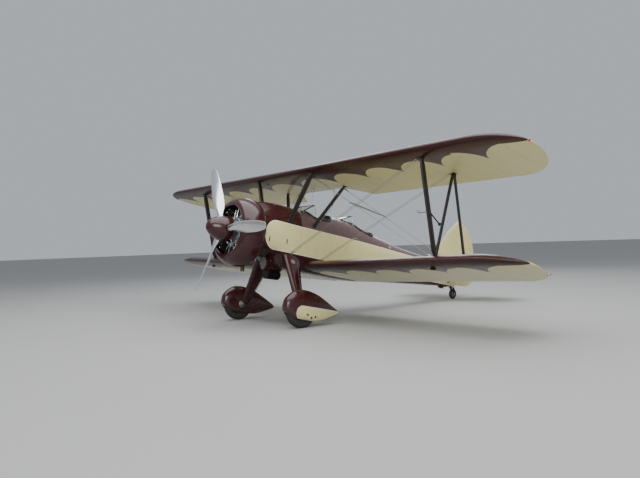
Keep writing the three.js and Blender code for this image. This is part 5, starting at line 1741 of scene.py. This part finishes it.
def dress_cockpit(name, well):
    """Seat, cushions, harness, instruments, controls and the roll round one opening."""
    floor_z = well["floor"]
    back = well["to"] - 0.070
    front = back - 0.400
    pan = floor_z + 0.230
    middle = (front + back) / 2
    # Seat shell: pan, back and sides of formed sheet on a pedestal
    seat = Shape()
    seat.block((0.205, 0.200, 0.006), facing((0, middle, pan + 0.006), (0, 0, 1)), 0.003, 0.02)
    seat.block((0.205, 0.2595, 0.006), facing((0, back - 0.006, pan + 0.26), (0, 1, 0), (0, 0, 1)), 0.003,
               0.05)
    for s in (-1, 1):
        side_frame = facing((0.199 * s, middle + 0.06, pan + 0.095), (1, 0, 0), (0, 0, 1))
        seat.block((0.14, 0.095, 0.005), side_frame, 0.003, 0.03)
        seat.tube(follow([(0.199 * s, front + 0.125, pan + 0.02), (0.199 * s, front + 0.135, pan + 0.17),
                          (0.199 * s, front + 0.20, pan + 0.19),
                          (0.199 * s, back - 0.01, pan + 0.19)], 18), 0.006, 8)
    rim_path = [(x, back - 0.006, z) for x, z in
                [(-0.205, pan + 0.05), (-0.205, pan + 0.45), (-0.18, pan + 0.505), (-0.12, pan + 0.52),
                 (0.12, pan + 0.52), (0.18, pan + 0.505), (0.205, pan + 0.45), (0.205, pan + 0.05)]]
    seat.tube(follow(rim_path, 40), 0.007, 8)
    for s in (-1, 1):
        for y in (front + 0.08, back - 0.07):
            seat.rod((0.14 * s, y, floor_z + 0.002), (0.14 * s, y, pan), 0.011, 12, paint=1)
    build("seat_shell_" + name, seat, "airframe", [cabin_green, steel], ["seat_" + name])
    base = cushion(0.178, 0.168, 0.046, facing((0, middle - 0.012, pan + 0.024), (0, 0, 1)))
    pad = build("seat_cushion_" + name, base, "airframe", [brown_leather], sharp=60)
    rest = cushion(0.172, 0.215, 0.034, facing((0, back - 0.021, pan + 0.285), (0, -1, 0), (0, 0, 1)))
    pad = build("back_cushion_" + name, rest, "airframe", [brown_leather], sharp=60)
    head = cushion(0.160, 0.070, 0.040, facing((0, back - 0.030, pan + 0.520), (0, -1, 0), (0, 0, 1)))
    pad = build("head_cushion_" + name, head, "airframe", [black_leather], sharp=60)
    # Harness: shoulder straps over the back, lap belt with its buckle
    harness = Shape()
    for s in (-1, 1):
        belt_run(harness, [(0.075 * s, back + 0.004, pan + 0.30), (0.075 * s, back + 0.002, pan + 0.50),
                           (0.075 * s, back - 0.012, pan + 0.528), (0.072 * s, back - 0.055, pan + 0.49),
                           (0.066 * s, back - 0.066, pan + 0.30), (0.050 * s, back - 0.075, pan + 0.10)])
        belt_run(harness, [(0.185 * s, back - 0.09, pan + 0.06), (0.12 * s, back - 0.14, pan + 0.085),
                           (0.06 * s, back - 0.16, pan + 0.088),
                           (0.02 * s, back - 0.165, pan + 0.086)], across=(0, 0.9, 0.43))
    harness.block((0.030, 0.024, 0.006), facing((0, back - 0.165, pan + 0.092), (0, 0, 1)), 0.003, 0.01,
                  paint=1)
    build("harness_" + name, harness, "airframe", [belt, bright])
    # Instruments on the front wall
    wall = well["from"] + 0.004
    panel = Shape()
    panel.block((0.262, 0.135, 0.004), facing((0, wall, 0.385), (0, 1, 0), (0, 0, 1)), 0.002, 0.05)
    dials = [(0, 0.44, 0.041), (-0.105, 0.435, 0.041), (0.105, 0.435, 0.041), (-0.195, 0.40, 0.030),
             (0.195, 0.40, 0.030), (0, 0.335, 0.041), (-0.10, 0.335, 0.030), (0.10, 0.335, 0.030),
             (-0.175, 0.325, 0.020), (0.175, 0.325, 0.020)]
    for x, z, r in dials:
        spot = facing((x, wall + 0.004, z), (0, 1, 0), (0, 0, 1))
        panel.turn([(r - 0.004, 0), (r - 0.004, 0.004), (r - 0.002, 0.006), (r + 0.003, 0.005),
                    (r + 0.004, 0)], spot, 40, closed=True, paint=1)
        panel.turn([(0, 0.002), (r - 0.003, 0.002), (r - 0.003, 0.0), (0, 0.0)], spot, 40, paint=2)
        for k in range(12):
            a = k * TURN / 12 + 0.2
            mark = spot @ Matrix.Translation((r * 0.78 * math.cos(a), r * 0.78 * math.sin(a), 0.0024))
            panel.block((0.0008, r * 0.07, 0.0004), mark @ Matrix.Rotation(a - TURN / 4, 4, "Z"), 0.0002,
                        paint=3)
        pointing = spot @ Matrix.Rotation(0.6 + 17 * x + 9 * z, 4, "Z")
        needle = pointing @ Matrix.Translation((0, r * 0.28, 0.003))
        panel.block((0.0011, r * 0.33, 0.0005), needle, 0.0003, paint=3)
        panel.turn([(0, 0.0025), (0.0035, 0.0025), (0.003, 0.0045), (0, 0.0045)], spot, 12, paint=1)
    for x in np.linspace(-0.21, 0.21, 7):
        panel.rod((x, wall + 0.002, 0.275), (x, wall + 0.016, 0.272), 0.004, 8, paint=1)
    build("instrument_panel_" + name, panel, "airframe",
          [dark_metal, black_leather, dial_black, clear_lamp])
    # Stick, pedals and throttle
    controls = Shape()
    foot_y = front - 0.045
    controls.tube(follow([(0, foot_y, floor_z + 0.01), (0, foot_y + 0.01, floor_z + 0.20),
                          (0, foot_y + 0.025, floor_z + 0.40)], 12), 0.011, 12)
    controls.tube(follow([(0, foot_y + 0.024, floor_z + 0.385), (0, foot_y + 0.03, floor_z + 0.44),
                          (0, foot_y + 0.034, floor_z + 0.50)], 10),
                  [0.014, 0.016, 0.0155, 0.0145, 0.015, 0.0165, 0.017, 0.017, 0.015, 0.008], 14, paint=1)
    controls.turn([(0, 0), (0.045, 0), (0.040, 0.012), (0.022, 0.03), (0.014, 0.06), (0, 0.06)],
                  facing((0, foot_y, floor_z), (0, 0, 1)), 24, paint=1)
    for s in (-1, 1):
        controls.rod((0.13 * s, well["from"] + 0.03, floor_z),
                     (0.13 * s, well["from"] + 0.025, floor_z + 0.12), 0.008, 10)
        controls.block((0.038, 0.05, 0.004), facing((0.13 * s, well["from"] + 0.03, floor_z + 0.14),
                                                    (0, 0.9, 0.3), (0, 0, 1)), 0.002, 0.012)
    controls.block((0.008, 0.06, 0.035), facing((well["half"] - 0.010, well["from"] + 0.19, 0.25),
                                                (0, 0, 1)), 0.003, 0.006)
    controls.rod((well["half"] - 0.024, well["from"] + 0.17, 0.27),
                 (well["half"] - 0.030, well["from"] + 0.13, 0.35), 0.004, 8)
    controls.turn([(0, -0.012), (0.010, -0.010), (0.014, 0), (0.010, 0.010), (0, 0.012)],
                  facing((well["half"] - 0.031, well["from"] + 0.128, 0.355), (0, 0, 1)), 16, paint=1)
    build("controls_" + name, controls, "airframe", [steel, black_leather])
    # Padded roll round the opening
    ring = well_outline(well, -0.002)
    line = []
    for k in range(len(ring)):
        for s in (0, 0.25, 0.5, 0.75):
            x, y = mix(ring[k], ring[(k + 1) % len(ring)], s)
            line.append((x, y, hull_top(x, y) + 0.007))
    roll = Shape().tube(line, 0.0195, 14, closed=True)
    piece = build("coaming_" + name, roll, "airframe", [black_leather], sharp=60)


for name, well in WELLS.items():
    dress_cockpit(name, well)
    glass_part, frame_part = windshield(**WINDSHIELDS[name])
    build("windshield_glass_" + name, glass_part, "airframe", [glass], ["windshield_" + name])
    build("windshield_frame_" + name, frame_part, "airframe", [strut_paint, steel])


# Small fittings

lights = {"port": Shape(), "starboard": Shape()}
for wing, x, c in ((UPPER, 4.880, 0.40), (LOWER, 4.625, 1.06)):
    spot = Vector(wing_point(wing, x, [c], [0.0])[0])
    out = Vector((1, -0.55 if wing is UPPER else 0.5, 0)).normalized()
    for side, turned_to in MIRROR.items():
        made = Shape()
        place = facing(spot + out * 0.001, out, (0, 0, 1))
        made.turn([(0, -0.03), (0.016, -0.03), (0.018, 0.002), (0.0165, 0.006), (0, 0.006)], place, 20)
        made.turn(follow([(0.0155, 0.005), (0.0150, 0.016), (0.010, 0.027), (0.0001, 0.032)], 10).tolist(),
                  place, 20, paint=1)
        lights[side].join(turned_to(made))
for side, lens_paint in (("port", red_lamp), ("starboard", green_lamp)):
    build("tip_lights_" + side, lights[side], "airframe", [steel, lens_paint])

pitot = Shape()
pitot.tube(follow([(STRUT_X, 1.480, 0.405), (STRUT_X, 1.40, 0.392), (STRUT_X, 1.33, 0.366),
                   (STRUT_X, 1.262, 0.361)], 16), 0.0085, 10)
pitot.rod((STRUT_X, 1.262, 0.361), (STRUT_X, 1.215, 0.361), 0.0035, 8, paint=1)
pitot.rod((STRUT_X, 1.30, 0.388), (STRUT_X, 1.225, 0.388), 0.0035, 8, paint=1)
pitot.rod((STRUT_X, 1.30, 0.362), (STRUT_X, 1.30, 0.388), 0.004, 8, paint=1)
build("pitot_heads", pitot, "airframe", [steel, stainless])

gauge = Shape()
tank = Vector(wing_point(UPPER, 0.0, [0.83], heights(UPPER, 0.0, [0.83])[1])[0])
gauge.turn([(0, 0.01), (0.028, 0.01), (0.028, -0.012), (0.011, -0.02), (0.011, -0.25), (0.009, -0.258),
            (0, -0.258)],
           facing(tank, (0, 0, 1)), 20)
for s in (-1, 1):
    top = Vector(wing_point(UPPER, 0.50 * s, [0.93], heights(UPPER, 0.5, [0.93])[1])[0])
    gauge.tube(follow([top, top + Vector((0.01 * s, 0, -0.06)), (0.655 * s, 1.80, 0.78),
                       (0.462 * s, 1.712, 0.46)], 22), 0.0048, 8, paint=1)
build("fuel_gauge_and_lines", gauge, "airframe", [clear_lamp, stainless])

trim = Shape()
for y, z in ((0.62, -0.070), (1.02, -0.045)):
    for s in (-1, 1):
        side_place = Vector((hull_side(y, z) * s, y, z))
        place = facing(side_place, (s, 0, 0), (0, 0, 1))
        trim.block((0.010, 0.044, 0.0035), place, 0.002, 0.006, paint=2)
        trim.block((0.005, 0.030, 0.0065), place, 0.002, 0.004, paint=2)
        for up in (-0.036, 0.036):
            trim.stud(side_place + Vector((0, 0, up)), (s, 0, 0), 0.004, 0.007, 10)
for y in (0.505, 1.075, 1.108):
    for k in range(30):
        a = TURN * k / 30 + 0.05
        ring = hull_ring(y, sides=120)[(k * 4 + 1) % 120]
        out = Vector((ring[0], 0, ring[2])).normalized()
        trim.stud(ring, out, 0.005, 0.0022, 8, paint=1)
filler = Vector((0.16, 0.86, hull_top(0.16, 0.86)))
trim.turn([(0, 0), (0.034, 0), (0.034, 0.008), (0.026, 0.012), (0, 0.014)], facing(filler, (0.35, 0, 1)),
          28)
dome = Vector((0.285, 3.78, hull_top(0.285, 3.78) - 0.004))
trim.turn(follow([(0.024, 0), (0.022, 0.012), (0.014, 0.022), (0.0001, 0.026)], 10).tolist(),
          facing(dome, (0.8, 0, 0.6)), 20, paint=3)
# A grab handle on each side of the rear cockpit
for s in (-1, 1):
    first, last = (hull_side(y, 0.30) for y in (2.62, 2.72))
    trim.tube([(first * s + 0.002 * s, 2.62, 0.30), (first * s + 0.03 * s, 2.63, 0.315),
               (last * s + 0.03 * s, 2.71, 0.315), (last * s + 0.002 * s, 2.72, 0.30)], 0.006, 8)
build("fuselage_fasteners", trim, "airframe", [steel, steel, dark_metal, clear_lamp])


# Floor, light, camera

FLOOR_GREY = (0.36, 0.36, 0.35)


def floor():
    bpy.ops.mesh.primitive_plane_add(size=1)
    made = bpy.context.object
    made.name = "studio_floor"
    made.data.transform(Matrix.Scale(300, 4))
    paint = Paint("studio_floor", FLOOR_GREY, 0.8)
    paint.set("Base Color", paint.shade(FLOOR_GREY, 0.06, paint.noise(0.6, 4)))
    made.data.materials.append(paint.made)


def area_light(name, place, target, size, power):
    data = bpy.data.lights.new(name, "AREA")
    data.shape = "RECTANGLE"
    data.size, data.size_y = size
    data.energy = power
    lamp_object = bpy.data.objects.new(name, data)
    lamp_object.location = place
    lamp_object.rotation_euler = (Vector(target) - Vector(place)).to_track_quat("-Z", "Y").to_euler()
    bpy.context.scene.collection.objects.link(lamp_object)


floor()
area_light("sky_panel", (2, -2, 11), (0, 0, 1), (16, 14), 2350)
area_light("front_panel", (13, -12, 6), (0, -1, 1), (10, 6), 1500)
area_light("back_panel", (-9, 10, 8), (0, 0, 1), (10, 6), 600)
world = bpy.data.worlds.new("studio")
bpy.context.scene.world = world
world.use_nodes = True
world.node_tree.nodes["Background"].inputs["Color"].default_value = (0.80, 0.85, 0.92, 1)
world.node_tree.nodes["Background"].inputs["Strength"].default_value = 0.58

# Camera, fitted to the photograph: place, heading, pitch and roll, focal length in pixels
EYE = Vector((9.127, -5.455 + ROW_SHIFT, 1.401))
HEADING, PITCH, ROLL = math.radians(39.727), math.radians(0.477), math.radians(-1.919)
FOCAL_PIXELS = 608.818
IMAGE_WIDTH = 640
SENSOR = 36

ahead = Vector((-math.cos(HEADING) * math.cos(PITCH), math.sin(HEADING) * math.cos(PITCH), math.sin(PITCH)))
right = ahead.cross(Vector((0, 0, 1))).normalized()
above = right.cross(ahead)
turned_right = right * math.cos(ROLL) + above * math.sin(ROLL)
turned_above = above * math.cos(ROLL) - right * math.sin(ROLL)
lens = bpy.data.cameras.new("camera")
lens.sensor_width = SENSOR
lens.lens = SENSOR * FOCAL_PIXELS / IMAGE_WIDTH
lens.clip_end = 500
camera = bpy.data.objects.new("camera", lens)
bpy.context.scene.collection.objects.link(camera)
aim = Matrix((turned_right, turned_above, -ahead)).transposed().to_4x4()
camera.matrix_world = Matrix.Translation(EYE) @ aim
bpy.context.scene.camera = camera
